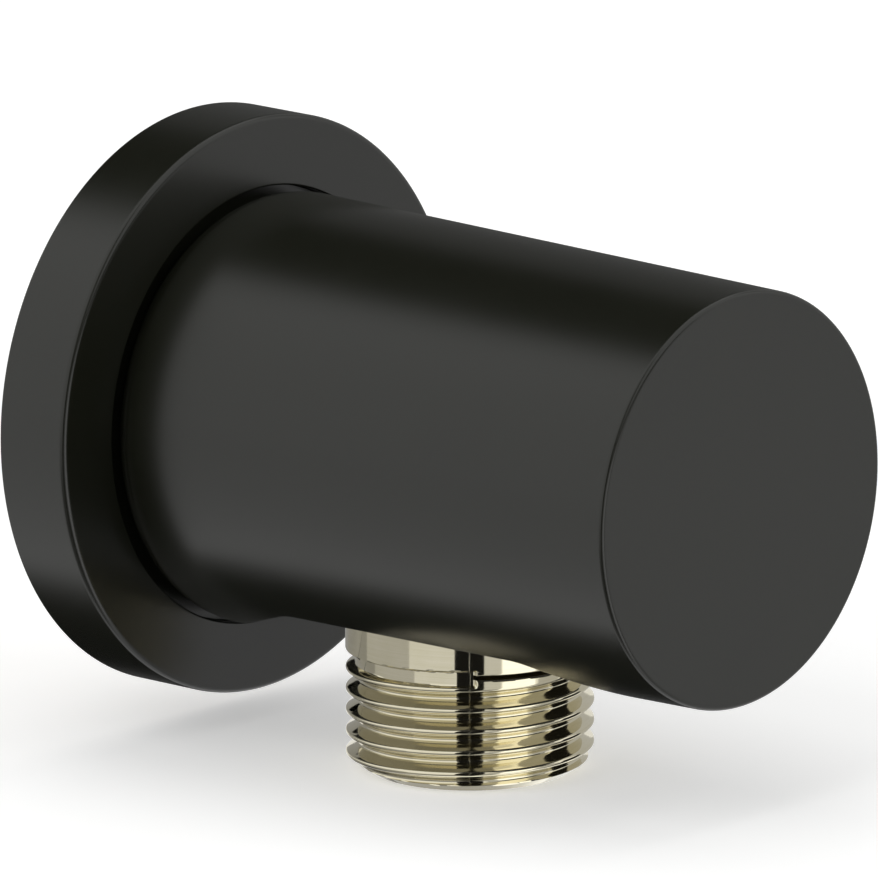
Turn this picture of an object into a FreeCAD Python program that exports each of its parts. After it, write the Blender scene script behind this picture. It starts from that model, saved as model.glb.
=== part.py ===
import FreeCAD, Part
import math
import os
import re
import Sketcher

# Wall outlet elbow of a shower: a black coated body on a round wall flange, with a threaded hose outlet below.
# Sizes are in millimetres. The wall is the plane Y = 0, the body stands out along -Y, and Z points up.
# A station is a distance from the wall, and a drop is a distance below the body's axis.

# Driving sizes
SIZES = {
    # Wall flange
    "flange_diameter": 49.7,
    "flange_depth": 7.3,
    "flange_edge": 0.5,
    "flange_back_edge": 0.2,
    "skirt_wall": 2.0,
    "seat_floor": 2.0,
    "seat_depth": 1.5,
    "seat_edge": 0.15,
    "shadow_gap": 0.21,
    "floor_hole_play": 0.3,
    # Elbow body
    "body_back_diameter": 37.1,
    "body_front_diameter": 35.3,
    "body_length": 60.8,
    "body_back_round": 3.8,
    "body_front_round": 0.4,
    "relief_drop": 14.36,
    "relief_station": 32.8,
    "relief_length": 25.4,
    "relief_angle": 18.4,
    "relief_blend": 6.0,
    "spotface_play": 0.3,
    "spotface_depth": 0.1,
    "waterway_diameter": 13.0,
    "waterway_overrun": 7.0,
    "drill_point_angle": 59.0,
    # Wall nipple
    "pipe_thread_diameter": 20.955,
    "wall_thread_length": 10.5,
    "thread_lead_in": 1.2,
    "collar_diameter": 25.2,
    "spigot_diameter": 18.0,
    "spigot_station": 19.4,
    "spigot_lead_in": 0.8,
    "spigot_play": 0.05,
    "spigot_end_gap": 0.4,
    "inlet_diameter": 9.4,
    "key_socket": 10.0,
    "key_socket_depth": 8.0,
    "ring_thickness": 1.5,
    "ring_groove_width": 2.1,
    "ring_ease": 0.02,
    "back_ring_station": 13.7,
    "front_ring_station": 17.1,
    # Set screw and its groove
    "screw_station": 9.6,
    "screw_diameter": 5.0,
    "screw_length": 7.0,
    "screw_tip": 2.0,
    "screw_play": 0.05,
    "screw_socket": 2.5,
    "screw_socket_depth": 2.4,
    "screw_lead_in": 0.4,
    "lock_groove_depth": 1.1,
    # Flange ring
    "flange_ring_diameter": 24.2,
    "flange_ring_thickness": 1.3,
    "flange_ring_groove_width": 2.0,
    # Wall gasket
    "gasket_play": 0.3,
    # Outlet nipple
    "outlet_station": 30.77,
    "shank_drop": 7.4,
    "shank_diameter": 18.0,
    "shank_play": 0.05,
    "shank_end_gap": 0.2,
    "shank_ring_thickness": 1.5,
    "shank_ring_drop": 9.5,
    "shank_lead_in": 0.5,
    "outlet_waterway": 11.6,
    "nipple_collar_diameter": 21.0,
    "nipple_collar_length": 3.04,
    "undercut_diameter": 18.8,
    "undercut_length": 1.0,
    "nipple_length": 13.4,
    "nipple_end_diameter": 17.0,
    "nipple_end_taper": 1.25,
    "cartridge_ledge": 11.4,
    "cartridge_bore": 15.2,
    # Check valve cartridge
    "cartridge_play": 0.1,
    "housing_length": 12.0,
    "seat_block": 3.0,
    "seat_hole": 8.0,
    "chamber_diameter": 12.4,
    "valve_ring_thickness": 1.2,
    "valve_ring_drop": 1.9,
    "valve_ring_groove_width": 1.7,
    "valve_travel": 2.5,
    "seat_gap": 0.1,
    "seal_diameter": 10.0,
    "seal_thickness": 0.9,
    "seal_play": 0.05,
    "poppet_neck": 4.8,
    "poppet_head": 6.8,
    "poppet_head_height": 0.6,
    "poppet_disc": 10.4,
    "poppet_disc_thickness": 1.2,
    "stem_diameter": 2.5,
    "stem_reach": 4.4,
    "guide_play": 0.1,
    "guide_tube_wall": 0.95,
    "guide_web": 1.4,
    "guide_recess": 0.6,
    "guide_rim": 0.9,
    "guide_fit": 0.03,
    "guide_arm_angle": 28.0,
    "guide_arms": 3,
    "lift_gap": 0.1,
    "spring_diameter": 6.2,
    "spring_wire": 0.5,
    "spring_turns": 3.5,
    "spring_end_gap": 0.02,
}

# Sizes that follow from the driving ones
DERIVED = {
    "flange_radius": "flange_diameter / 2",
    "skirt_radius": "flange_radius - skirt_wall",
    "seat_station": "flange_depth - seat_depth",
    "floor_station": "seat_station - seat_floor",
    "seat_radius": "body_back_diameter / 2 + shadow_gap",
    "taper": "(body_back_diameter - body_front_diameter) / 2 / (body_length - flange_depth)",
    "body_back_radius": "body_back_diameter / 2 + taper * seat_depth",
    "body_front_radius": "body_front_diameter / 2",
    "spigot_radius": "spigot_diameter / 2",
    "spigot_bore": "spigot_radius + spigot_play",
    "spigot_bore_end": "spigot_station + spigot_end_gap",
    "floor_hole": "spigot_radius + floor_hole_play",
    "waterway_radius": "waterway_diameter / 2",
    "waterway_end": "outlet_station + waterway_overrun",
    "drill_point": "waterway_radius / tan(drill_point_angle)",
    "thread_radius": "pipe_thread_diameter / 2",
    "collar_radius": "collar_diameter / 2",
    "inlet_radius": "inlet_diameter / 2",
    "ring_groove_radius": "spigot_bore - ring_thickness - 2 * ring_ease",
    "lock_groove_radius": "spigot_radius - lock_groove_depth",
    "lock_groove_half": "screw_tip / 2 + screw_play + lock_groove_depth",
    "lock_groove_floor": "screw_tip / 2 + screw_play",
    "screw_radius": "screw_diameter / 2",
    "screw_hole_radius": "screw_radius + screw_play",
    "screw_top_drop": "lock_groove_radius + screw_play",
    "screw_end_drop": "screw_top_drop + screw_length",
    "flange_ring_radius": "flange_ring_diameter / 2",
    "flange_ring_groove_depth": "flange_ring_thickness + 2 * ring_ease",
    "outlet_seat_drop": "relief_drop - spotface_depth",
    "shank_radius": "shank_diameter / 2",
    "socket_radius": "shank_radius + shank_play",
    "socket_drop": "shank_drop - shank_end_gap",
    "outlet_waterway_radius": "outlet_waterway / 2",
    "shank_ring_groove_radius": "socket_radius - shank_ring_thickness - 2 * ring_ease",
    "nipple_collar_radius": "nipple_collar_diameter / 2",
    "nipple_collar_drop": "outlet_seat_drop + nipple_collar_length",
    "undercut_radius": "undercut_diameter / 2",
    "thread_drop": "nipple_collar_drop + undercut_length",
    "nipple_end_drop": "outlet_seat_drop + nipple_length",
    "nipple_end_radius": "nipple_end_diameter / 2",
    "cartridge_bore_radius": "cartridge_bore / 2",
    "housing_radius": "cartridge_bore_radius - cartridge_play",
    "housing_end_drop": "cartridge_ledge + housing_length",
    "seat_drop": "cartridge_ledge + seat_block",
    "seat_hole_radius": "seat_hole / 2",
    "chamber_radius": "chamber_diameter / 2",
    "valve_ring_groove_radius": "cartridge_bore_radius - valve_ring_thickness - 2 * ring_ease",
    "valve_ring_at": "cartridge_ledge + valve_ring_drop",
    "seal_drop": "seat_drop + seat_gap",
    "disc_drop": "seal_drop + seal_thickness",
    "disc_end_drop": "disc_drop + poppet_disc_thickness",
    "stem_end_drop": "disc_end_drop + stem_reach",
    "stem_radius": "stem_diameter / 2",
    "guide_hole_radius": "stem_radius + guide_play",
    "guide_tube_radius": "guide_hole_radius + guide_tube_wall",
    "guide_tube_drop": "disc_end_drop + valve_travel + lift_gap",
    "guide_end_drop": "housing_end_drop - guide_recess",
    "guide_web_drop": "guide_end_drop - guide_web",
    "guide_radius": "chamber_radius - guide_fit",
    "guide_window_radius": "guide_radius - guide_rim",
    "guide_window_angle": "(360 / guide_arms - guide_arm_angle) / 2",
    "spring_coil_radius": "spring_diameter / 2",
    "spring_top_drop": "disc_end_drop + spring_wire / 2 + spring_end_gap",
    "spring_height": "guide_web_drop - spring_wire / 2 - spring_end_gap - spring_top_drop",
}

# A length that only reaches clear of the metal it cuts
CLEAR = 5.0

# Lengths and volumes closer than this are the same
SAME = 1e-4

doc = FreeCAD.newDocument("wall_outlet_elbow")
sheet = doc.addObject("Spreadsheet::Sheet", "Sizes")
for row, (alias, content) in enumerate(list(SIZES.items()) + list(DERIVED.items()), start=1):
    sheet.set("A%d" % row, alias.replace("_", " "))
    sheet.set("B%d" % row, str(content) if alias in SIZES else "=" + content)
    sheet.setAlias("B%d" % row, alias)
doc.recompute()


def term(words):
    """Return an expression on the sheet for a sum written with its plain size names."""
    return re.sub(r"\b(?!cos|sin|tan)([a-z][a-z_]+)\b", r"Sizes.\1", words)


def size(words):
    """Return the number that such a sum has now."""
    return float(sheet.evalExpression(term(words)))


def body_named(name):
    """Return a new body with that name and label."""
    body = doc.addObject("PartDesign::Body", name)
    body.Label = name
    return body


def sketch_on(body, name, role, lift=None):
    """Return a sketch on one of the body's own origin planes, moved off it by the sum in lift."""
    sketch = body.newObject("Sketcher::SketchObject", name)
    plane = [item for item in body.Origin.OriginFeatures if item.Role == role][0]
    sketch.AttachmentSupport = [(plane, "")]
    sketch.MapMode = "FlatFace"
    if lift:
        sketch.setExpression(".AttachmentOffset.Base.z", term(lift))
    return sketch


def fix_point(sketch, geo, pos, across=None, along=None):
    """Tie one point of a sketch to its distances from the sketch's axes, or to one of them."""
    ties = (("DistanceX", across, -2), ("DistanceY", along, -1))
    for kind, words, axis in ties:
        if words is None:
            continue
        value = size(words)
        if abs(value) < SAME:
            sketch.addConstraint(Sketcher.Constraint("PointOnObject", geo, pos, axis))
        else:
            tie = sketch.addConstraint(Sketcher.Constraint(kind, -1, 1, geo, pos, value))
            sketch.setExpression("Constraints[%d]" % tie, term(words))


def outline(sketch, corners):
    """Draw a closed outline of straight lines through corners given as pairs of sums."""
    points = [FreeCAD.Vector(size(across), size(along), 0) for across, along in corners]
    count = len(points)
    lines = [Part.LineSegment(points[i], points[(i + 1) % count]) for i in range(count)]
    sketch.addGeometry(lines, False)
    for i in range(count):
        sketch.addConstraint(Sketcher.Constraint("Coincident", i, 2, (i + 1) % count, 1))
    for i, (across, along) in enumerate(corners):
        fix_point(sketch, i, 1, across, along)


def circle(sketch, across, along, radius):
    """Draw a circle with its centre and radius given as sums."""
    centre = FreeCAD.Vector(size(across), size(along), 0)
    geo = sketch.addGeometry(Part.Circle(centre, FreeCAD.Vector(0, 0, 1), size(radius)), False)
    fix_point(sketch, geo, 3, across, along)
    tie = sketch.addConstraint(Sketcher.Constraint("Radius", geo, size(radius)))
    sketch.setExpression("Constraints[%d]" % tie, term(radius))


def hexagon(sketch, across_flats, across="0", along="0"):
    """Draw a hexagon about a centre given by two sums, with a corner straight up."""
    corners = []
    for corner in range(6):
        turn = 30 + 60 * corner
        arm = "(%s) / 2 / cos(30)" % across_flats
        corners.append(("%s + %s * cos(%d)" % (across, arm, turn), "%s + %s * sin(%d)" % (along, arm, turn)))
    outline(sketch, corners)


def stations(corners):
    """Turn (radius, distance from the wall) into the sketch's own directions."""
    return [(radius, "-(%s)" % station) for radius, station in corners]


def turned(body, name, role, corners, cut=False, axis="V_Axis"):
    """Turn an outline about an axis of its sketch, as metal added or as metal cut away."""
    sketch = sketch_on(body, name + "_outline", role)
    outline(sketch, corners)
    feature = body.newObject("PartDesign::Groove" if cut else "PartDesign::Revolution", name)
    feature.Profile = sketch
    feature.ReferenceAxis = (sketch, [axis])
    feature.Angle = 360
    doc.recompute()
    return feature


def cut_down(body, name, sketch, depth=None, up=False):
    """Cut a sketch into the body along its normal, by a depth or else both ways through everything."""
    before = body.Shape.Volume
    pocket = body.newObject("PartDesign::Pocket", name)
    pocket.Profile = sketch
    pocket.Reversed = up
    if depth:
        pocket.setExpression("Length", term(depth))
    else:
        pocket.Type = "ThroughAll"
        pocket.Midplane = True
    doc.recompute()
    if not pocket.Shape.Volume < before - SAME:
        raise RuntimeError(name + " cuts nothing")
    return pocket


def edges_where(shape, test):
    """Return the names of the edges whose middle and length pass a test."""
    names = []
    for number, edge in enumerate(shape.Edges, start=1):
        if test(edge):
            names.append("Edge%d" % number)
    return names


def rim_edges(shape, radius, station):
    """Return the names of the circles about the body's axis at a radius and a distance from the wall."""
    def on_rim(edge):
        curve = edge.Curve
        if not isinstance(curve, Part.Circle):
            return False
        middle = curve.Center
        centred = math.hypot(middle.x, middle.z) < SAME
        return centred and abs(curve.Radius - radius) < SAME and abs(middle.y + station) < SAME
    return edges_where(shape, on_rim)


def softened(body, name, kind, base, edges, amount):
    """Round or chamfer edges of the last feature."""
    if not edges:
        raise RuntimeError(name + " finds no edge")
    feature = body.newObject("PartDesign::" + kind, name)
    feature.Base = (base, edges)
    feature.setExpression("Radius" if kind == "Fillet" else "Size", term(amount))
    doc.recompute()
    return feature


def ring_about_wall_axis(name, radius, section, station):
    """Make a round section ring about the body's axis at a distance from the wall."""
    ring = doc.addObject("Part::Torus", name)
    ring.Label = name
    ring.setExpression("Radius1", term(radius))
    ring.setExpression("Radius2", term(section))
    ring.Placement = FreeCAD.Placement(FreeCAD.Vector(0, 0, 0), FreeCAD.Rotation(FreeCAD.Vector(1, 0, 0), 90))
    ring.setExpression(".Placement.Base.y", term("-(%s)" % station))
    return ring


def ring_about_outlet(name, radius, section, drop):
    """Make a round section ring about the outlet's axis at a drop below the body's axis."""
    ring = doc.addObject("Part::Torus", name)
    ring.Label = name
    ring.setExpression("Radius1", term(radius))
    ring.setExpression("Radius2", term(section))
    ring.setExpression(".Placement.Base.y", term("-outlet_station"))
    ring.setExpression(".Placement.Base.z", term("-(%s)" % drop))
    return ring


def to_outlet(body):
    """Stand a body that is turned about its own Z on the outlet's axis."""
    body.setExpression(".Placement.Base.y", term("-outlet_station"))


def make_wall_flange():
    """Cover flange: a skirt against the wall and a shallow seat in front for the body's back."""
    body = body_named("wall_flange")
    base = turned(body, "flange_turning", "XY_Plane", stations([
        ("skirt_radius", "0"),
        ("flange_radius", "0"),
        ("flange_radius", "flange_depth"),
        ("seat_radius", "flange_depth"),
        ("seat_radius", "seat_station"),
        ("floor_hole", "seat_station"),
        ("floor_hole", "floor_station"),
        ("skirt_radius", "floor_station"),
    ]))
    front = rim_edges(base.Shape, size("flange_radius"), size("flange_depth"))
    base = softened(body, "flange_front_round", "Fillet", base, front, "flange_edge")
    back = rim_edges(base.Shape, size("flange_radius"), 0.0)
    base = softened(body, "flange_back_chamfer", "Chamfer", base, back, "flange_back_edge")
    seat = rim_edges(base.Shape, size("seat_radius"), size("flange_depth"))
    softened(body, "flange_seat_chamfer", "Chamfer", base, seat, "seat_edge")
    return body


def make_elbow_body():
    """Elbow body: a tapered bar bored from the back, relieved underneath, with a socket for the outlet."""
    body = body_named("elbow_body")
    base = turned(body, "body_turning", "XY_Plane", stations([
        ("spigot_bore", "seat_station"),
        ("body_back_radius", "seat_station"),
        ("body_front_radius", "body_length"),
        ("0", "body_length"),
        ("0", "waterway_end + drill_point"),
        ("waterway_radius", "waterway_end"),
        ("waterway_radius", "spigot_bore_end"),
        ("spigot_bore", "spigot_bore_end"),
    ]))
    back = rim_edges(base.Shape, size("body_back_radius"), size("seat_station"))
    base = softened(body, "body_back_fillet", "Fillet", base, back, "body_back_round")
    front = rim_edges(base.Shape, size("body_front_radius"), size("body_length"))
    softened(body, "body_front_fillet", "Fillet", base, front, "body_front_round")
    turned(body, "flange_ring_groove", "XY_Plane", stations([
        ("flange_ring_radius - flange_ring_groove_width / 2", "seat_station"),
        ("flange_ring_radius + flange_ring_groove_width / 2", "seat_station"),
        ("flange_ring_radius + flange_ring_groove_width / 2", "seat_station + flange_ring_groove_depth"),
        ("flange_ring_radius - flange_ring_groove_width / 2", "seat_station + flange_ring_groove_depth"),
    ]), cut=True)
    cut_relief(body)
    cut_outlet_socket(body)
    cut_screw_hole(body)
    return body


def cut_relief(body):
    """Mill the relief across the underside: a flat seat for the outlet that ramps out to both ends."""
    depth = "body_back_radius + %s" % CLEAR
    run = "(%s - relief_drop) / tan(relief_angle)" % depth
    sketch = sketch_on(body, "relief_outline", "YZ_Plane")
    outline(sketch, [
        ("-(relief_station - relief_length / 2 - %s)" % run, "-(%s)" % depth),
        ("-(relief_station - relief_length / 2)", "-relief_drop"),
        ("-(relief_station + relief_length / 2)", "-relief_drop"),
        ("-(relief_station + relief_length / 2 + %s)" % run, "-(%s)" % depth),
    ])
    pocket = cut_down(body, "relief", sketch)
    ends = [size("-(relief_station - relief_length / 2)"), size("-(relief_station + relief_length / 2)")]

    def at_ramp_foot(edge):
        middle = edge.CenterOfMass
        on_flat = abs(middle.z + size("relief_drop")) < SAME
        return on_flat and any(abs(middle.y - end) < SAME for end in ends)

    feet = edges_where(pocket.Shape, at_ramp_foot)
    softened(body, "relief_blends", "Fillet", pocket, feet, "relief_blend")


def cut_outlet_socket(body):
    """Spotface the relief round the outlet, then bore its socket and a narrower way into the waterway."""
    spot = sketch_on(body, "outlet_spot_circle", "XY_Plane", lift="-outlet_seat_drop")
    circle(spot, "0", "-outlet_station", "nipple_collar_radius + spotface_play")
    cut_down(body, "outlet_spotface", spot, depth="spotface_depth + %s" % CLEAR)
    way = sketch_on(body, "outlet_way_circle", "XY_Plane")
    circle(way, "0", "-outlet_station", "outlet_waterway_radius")
    cut_down(body, "outlet_way", way, depth="relief_drop + %s" % CLEAR)
    socket = sketch_on(body, "outlet_socket_circle", "XY_Plane", lift="-socket_drop")
    circle(socket, "0", "-outlet_station", "socket_radius")
    cut_down(body, "outlet_socket", socket, depth="relief_drop + %s" % CLEAR)


def cut_screw_hole(body):
    """Bore the set screw's hole from the underside into the spigot's bore."""
    sketch = sketch_on(body, "screw_hole_circle", "XY_Plane")
    circle(sketch, "0", "-screw_station", "screw_hole_radius")
    cut_down(body, "screw_hole", sketch, depth="body_back_radius + %s" % CLEAR)


def make_wall_nipple():
    """Wall nipple: pipe thread into the wall, collar on the tiles, and a spigot with two ring grooves."""
    body = body_named("wall_nipple")
    corners = [
        ("inlet_radius", "-wall_thread_length"),
        ("thread_radius - thread_lead_in", "-wall_thread_length"),
        ("thread_radius", "thread_lead_in - wall_thread_length"),
        ("thread_radius", "0"),
        ("collar_radius", "0"),
        ("collar_radius", "floor_station"),
        ("spigot_radius", "floor_station"),
        ("spigot_radius", "screw_station - lock_groove_half"),
        ("lock_groove_radius", "screw_station - lock_groove_floor"),
        ("lock_groove_radius", "screw_station + lock_groove_floor"),
        ("spigot_radius", "screw_station + lock_groove_half"),
    ]
    for at in ("back_ring_station", "front_ring_station"):
        corners += [
            ("spigot_radius", "%s - ring_groove_width / 2" % at),
            ("ring_groove_radius", "%s - ring_groove_width / 2" % at),
            ("ring_groove_radius", "%s + ring_groove_width / 2" % at),
            ("spigot_radius", "%s + ring_groove_width / 2" % at),
        ]
    corners += [
        ("spigot_radius", "spigot_station - spigot_lead_in / 2"),
        ("spigot_radius - spigot_lead_in", "spigot_station"),
        ("inlet_radius", "spigot_station"),
    ]
    turned(body, "nipple_turning", "XY_Plane", stations(corners))
    key = sketch_on(body, "key_hexagon", "XZ_Plane", lift="spigot_station")
    hexagon(key, "key_socket")
    cut_down(body, "key_socket", key, depth="key_socket_depth")
    return body


def make_wall_gasket():
    """Gasket: a flat rubber ring between the wall and the flange's seat floor."""
    body = body_named("wall_gasket")
    turned(body, "gasket_ring", "XY_Plane", stations([
        ("collar_radius + gasket_play", "0"),
        ("skirt_radius - gasket_play", "0"),
        ("skirt_radius - gasket_play", "floor_station"),
        ("collar_radius + gasket_play", "floor_station"),
    ]))
    return body


def make_set_screw():
    """Grub screw with a flat point in the spigot's groove and a hexagon socket facing down."""
    body = body_named("set_screw")
    body.setExpression(".Placement.Base.y", term("-screw_station"))
    turned(body, "screw_turning", "XZ_Plane", stations([
        ("0", "screw_top_drop"),
        ("screw_tip / 2", "screw_top_drop"),
        ("screw_radius", "screw_top_drop + screw_radius - screw_tip / 2"),
        ("screw_radius", "screw_end_drop - screw_lead_in"),
        ("screw_radius - screw_lead_in", "screw_end_drop"),
        ("0", "screw_end_drop"),
    ]))
    socket = sketch_on(body, "screw_hexagon", "XY_Plane", lift="-screw_end_drop")
    hexagon(socket, "screw_socket")
    cut_down(body, "screw_socket", socket, depth="screw_socket_depth", up=True)
    return body


def make_outlet_nipple():
    """Outlet nipple: a shank in the body, a collar on the relief, and the hose thread with its bore."""
    body = body_named("outlet_nipple")
    to_outlet(body)
    turned(body, "outlet_turning", "XZ_Plane", stations([
        ("outlet_waterway_radius", "shank_drop"),
        ("shank_radius - shank_lead_in", "shank_drop"),
        ("shank_radius", "shank_drop + shank_lead_in"),
        ("shank_radius", "shank_ring_drop - ring_groove_width / 2"),
        ("shank_ring_groove_radius", "shank_ring_drop - ring_groove_width / 2"),
        ("shank_ring_groove_radius", "shank_ring_drop + ring_groove_width / 2"),
        ("shank_radius", "shank_ring_drop + ring_groove_width / 2"),
        ("shank_radius", "outlet_seat_drop"),
        ("nipple_collar_radius", "outlet_seat_drop"),
        ("nipple_collar_radius", "nipple_collar_drop"),
        ("undercut_radius", "nipple_collar_drop"),
        ("undercut_radius", "thread_drop"),
        ("thread_radius", "thread_drop"),
        ("thread_radius", "nipple_end_drop - nipple_end_taper"),
        ("nipple_end_radius", "nipple_end_drop"),
        ("cartridge_bore_radius", "nipple_end_drop"),
        ("cartridge_bore_radius", "cartridge_ledge"),
        ("outlet_waterway_radius", "cartridge_ledge"),
    ]))
    return body


def make_valve_housing():
    """Check valve housing: a tube with a thick seat block at its top and a ring groove round it."""
    body = body_named("valve_housing")
    to_outlet(body)
    turned(body, "housing_turning", "XZ_Plane", stations([
        ("seat_hole_radius", "cartridge_ledge"),
        ("housing_radius", "cartridge_ledge"),
        ("housing_radius", "valve_ring_at - valve_ring_groove_width / 2"),
        ("valve_ring_groove_radius", "valve_ring_at - valve_ring_groove_width / 2"),
        ("valve_ring_groove_radius", "valve_ring_at + valve_ring_groove_width / 2"),
        ("housing_radius", "valve_ring_at + valve_ring_groove_width / 2"),
        ("housing_radius", "housing_end_drop"),
        ("chamber_radius", "housing_end_drop"),
        ("chamber_radius", "seat_drop"),
        ("seat_hole_radius", "seat_drop"),
    ]))
    return body


def make_valve_poppet():
    """Poppet: a head that holds the seal, a disc under it and a stem that runs in the guide."""
    body = body_named("valve_poppet")
    to_outlet(body)
    turned(body, "poppet_turning", "XZ_Plane", stations([
        ("0", "seal_drop - poppet_head_height"),
        ("poppet_head / 2", "seal_drop - poppet_head_height"),
        ("poppet_head / 2", "seal_drop"),
        ("poppet_neck / 2", "seal_drop"),
        ("poppet_neck / 2", "disc_drop"),
        ("poppet_disc / 2", "disc_drop"),
        ("poppet_disc / 2", "disc_end_drop"),
        ("stem_radius", "disc_end_drop"),
        ("stem_radius", "stem_end_drop"),
        ("0", "stem_end_drop"),
    ]))
    return body


def make_valve_seal():
    """Seal: a flat rubber washer round the poppet's neck that closes on the seat."""
    body = body_named("valve_seal")
    to_outlet(body)
    turned(body, "seal_ring", "XZ_Plane", stations([
        ("poppet_neck / 2 + seal_play", "seal_drop"),
        ("seal_diameter / 2", "seal_drop"),
        ("seal_diameter / 2", "disc_drop"),
        ("poppet_neck / 2 + seal_play", "disc_drop"),
    ]))
    return body


def make_valve_guide():
    """Guide: a rim in the housing's mouth, a tube for the stem, and arms between windows for the water."""
    body = body_named("valve_guide")
    to_outlet(body)
    turned(body, "guide_turning", "XZ_Plane", stations([
        ("guide_hole_radius", "guide_tube_drop"),
        ("guide_tube_radius", "guide_tube_drop"),
        ("guide_tube_radius", "guide_web_drop"),
        ("guide_radius", "guide_web_drop"),
        ("guide_radius", "guide_end_drop"),
        ("guide_hole_radius", "guide_end_drop"),
    ]))
    window = sketch_on(body, "guide_window_outline", "XY_Plane", lift="-guide_end_drop")
    window_outline(window)
    before = body.Shape.Volume
    pocket = cut_down(body, "guide_window", window, depth="guide_web", up=True)
    one_window = before - pocket.Shape.Volume
    all_but_one = one_window * (size("guide_arms") - 1)
    pattern = body.newObject("PartDesign::PolarPattern", "guide_windows")
    pattern.Originals = [pocket]
    pattern.Axis = (window, ["N_Axis"])
    pattern.Angle = 360
    pattern.setExpression("Occurrences", term("guide_arms"))
    body.Tip = pattern
    doc.recompute()
    if not pattern.Shape.Volume < before - all_but_one - SAME:
        raise RuntimeError("guide windows are not repeated")
    return body


def window_outline(sketch):
    """Draw one window of the guide: two arcs about the stem joined by straight sides."""
    angle = size("guide_window_angle")
    radii = ("guide_tube_radius", "guide_window_radius")
    up = FreeCAD.Vector(0, 0, 1)
    for words in radii:
        ring = Part.Circle(FreeCAD.Vector(0, 0, 0), up, size(words))
        sketch.addGeometry(Part.ArcOfCircle(ring, math.radians(-angle), math.radians(angle)), False)
    ends = []
    for words in radii:
        reach = size(words)
        spread = math.radians(angle)
        ends.append(FreeCAD.Vector(reach * math.cos(spread), reach * math.sin(spread), 0))
    sketch.addGeometry(Part.LineSegment(ends[0], ends[1]), False)
    lower = [FreeCAD.Vector(end.x, -end.y, 0) for end in ends]
    sketch.addGeometry(Part.LineSegment(lower[0], lower[1]), False)
    for arc in range(len(radii)):
        sketch.addConstraint(Sketcher.Constraint("Coincident", arc, 3, -1, 1))
        sketch.addConstraint(Sketcher.Constraint("Coincident", arc, 2, 2, arc + 1))
        sketch.addConstraint(Sketcher.Constraint("Coincident", arc, 1, 3, arc + 1))
        across = "%s * cos(guide_window_angle)" % radii[arc]
        along = "%s * sin(guide_window_angle)" % radii[arc]
        fix_point(sketch, arc, 2, across, along)
        fix_point(sketch, arc, 1, along="-" + along)


def make_valve_spring():
    """Closing spring: a wire coil between the poppet's disc and the guide's web."""
    body = body_named("valve_spring")
    to_outlet(body)
    wire = sketch_on(body, "wire_section", "XZ_Plane")
    circle(wire, "spring_coil_radius", "-(spring_top_drop + spring_height)", "spring_wire / 2")
    coil = body.newObject("PartDesign::AdditiveHelix", "spring_coil")
    coil.Profile = wire
    coil.ReferenceAxis = (wire, ["V_Axis"])
    coil.Mode = "height-turns-angle"
    coil.setExpression("Height", term("spring_height"))
    coil.setExpression("Turns", term("spring_turns"))
    doc.recompute()
    return body


def make_rings():
    """Round rubber rings in the grooves of the spigot, the body's back, the shank and the cartridge."""
    groove_middle = "(ring_groove_radius + spigot_bore) / 2"
    return [
        ring_about_wall_axis("spigot_o_ring_rear", groove_middle, "ring_thickness / 2", "back_ring_station"),
        ring_about_wall_axis("spigot_o_ring_front", groove_middle, "ring_thickness / 2", "front_ring_station"),
        ring_about_wall_axis("flange_o_ring", "flange_ring_radius", "flange_ring_thickness / 2",
                             "seat_station + flange_ring_groove_depth / 2"),
        ring_about_outlet("outlet_o_ring", "(shank_ring_groove_radius + socket_radius) / 2",
                          "shank_ring_thickness / 2", "shank_ring_drop"),
        ring_about_outlet("valve_o_ring", "(valve_ring_groove_radius + cartridge_bore_radius) / 2",
                          "valve_ring_thickness / 2", "valve_ring_at"),
    ]


def check_document():
    """Stop if any object of the document has failed."""
    for item in doc.Objects:
        if "Invalid" in item.State or "Error" in item.State:
            raise RuntimeError(item.Name + " has failed")


def write_pieces(pieces):
    """Check each piece's shape, then write them all."""
    for piece in pieces:
        if piece.Shape.isNull() or not piece.Shape.isValid() or len(piece.Shape.Solids) != 1:
            raise RuntimeError(piece.Label + " is not one sound solid")
    os.makedirs("parts", exist_ok=True)
    for piece in pieces:
        piece.Shape.exportStep("parts/%s.step" % piece.Label)
        print("%-22s %9.1f mm3" % (piece.Label, piece.Shape.Volume))


pieces = [
    make_wall_flange(),
    make_elbow_body(),
    make_wall_nipple(),
    make_wall_gasket(),
    make_set_screw(),
    make_outlet_nipple(),
    make_valve_housing(),
    make_valve_poppet(),
    make_valve_seal(),
    make_valve_guide(),
    make_valve_spring(),
] + make_rings()
doc.recompute()
check_document()
write_pieces(pieces)
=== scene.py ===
"""Skins, threads, finishes and studio for the wall outlet elbow.

Sizes are in millimetres in the wall's frame: the wall is the plane y = 0, the body stands out along -y and
z points up. A station is a distance from the wall, and a drop is a distance below the body's axis. Points
become metres when a mesh is made. An outline's corners are written as radius, station or drop, and rounding.
"""
import logging
import math
from dataclasses import dataclass, field
from enum import Enum
from typing import Sequence

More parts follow.
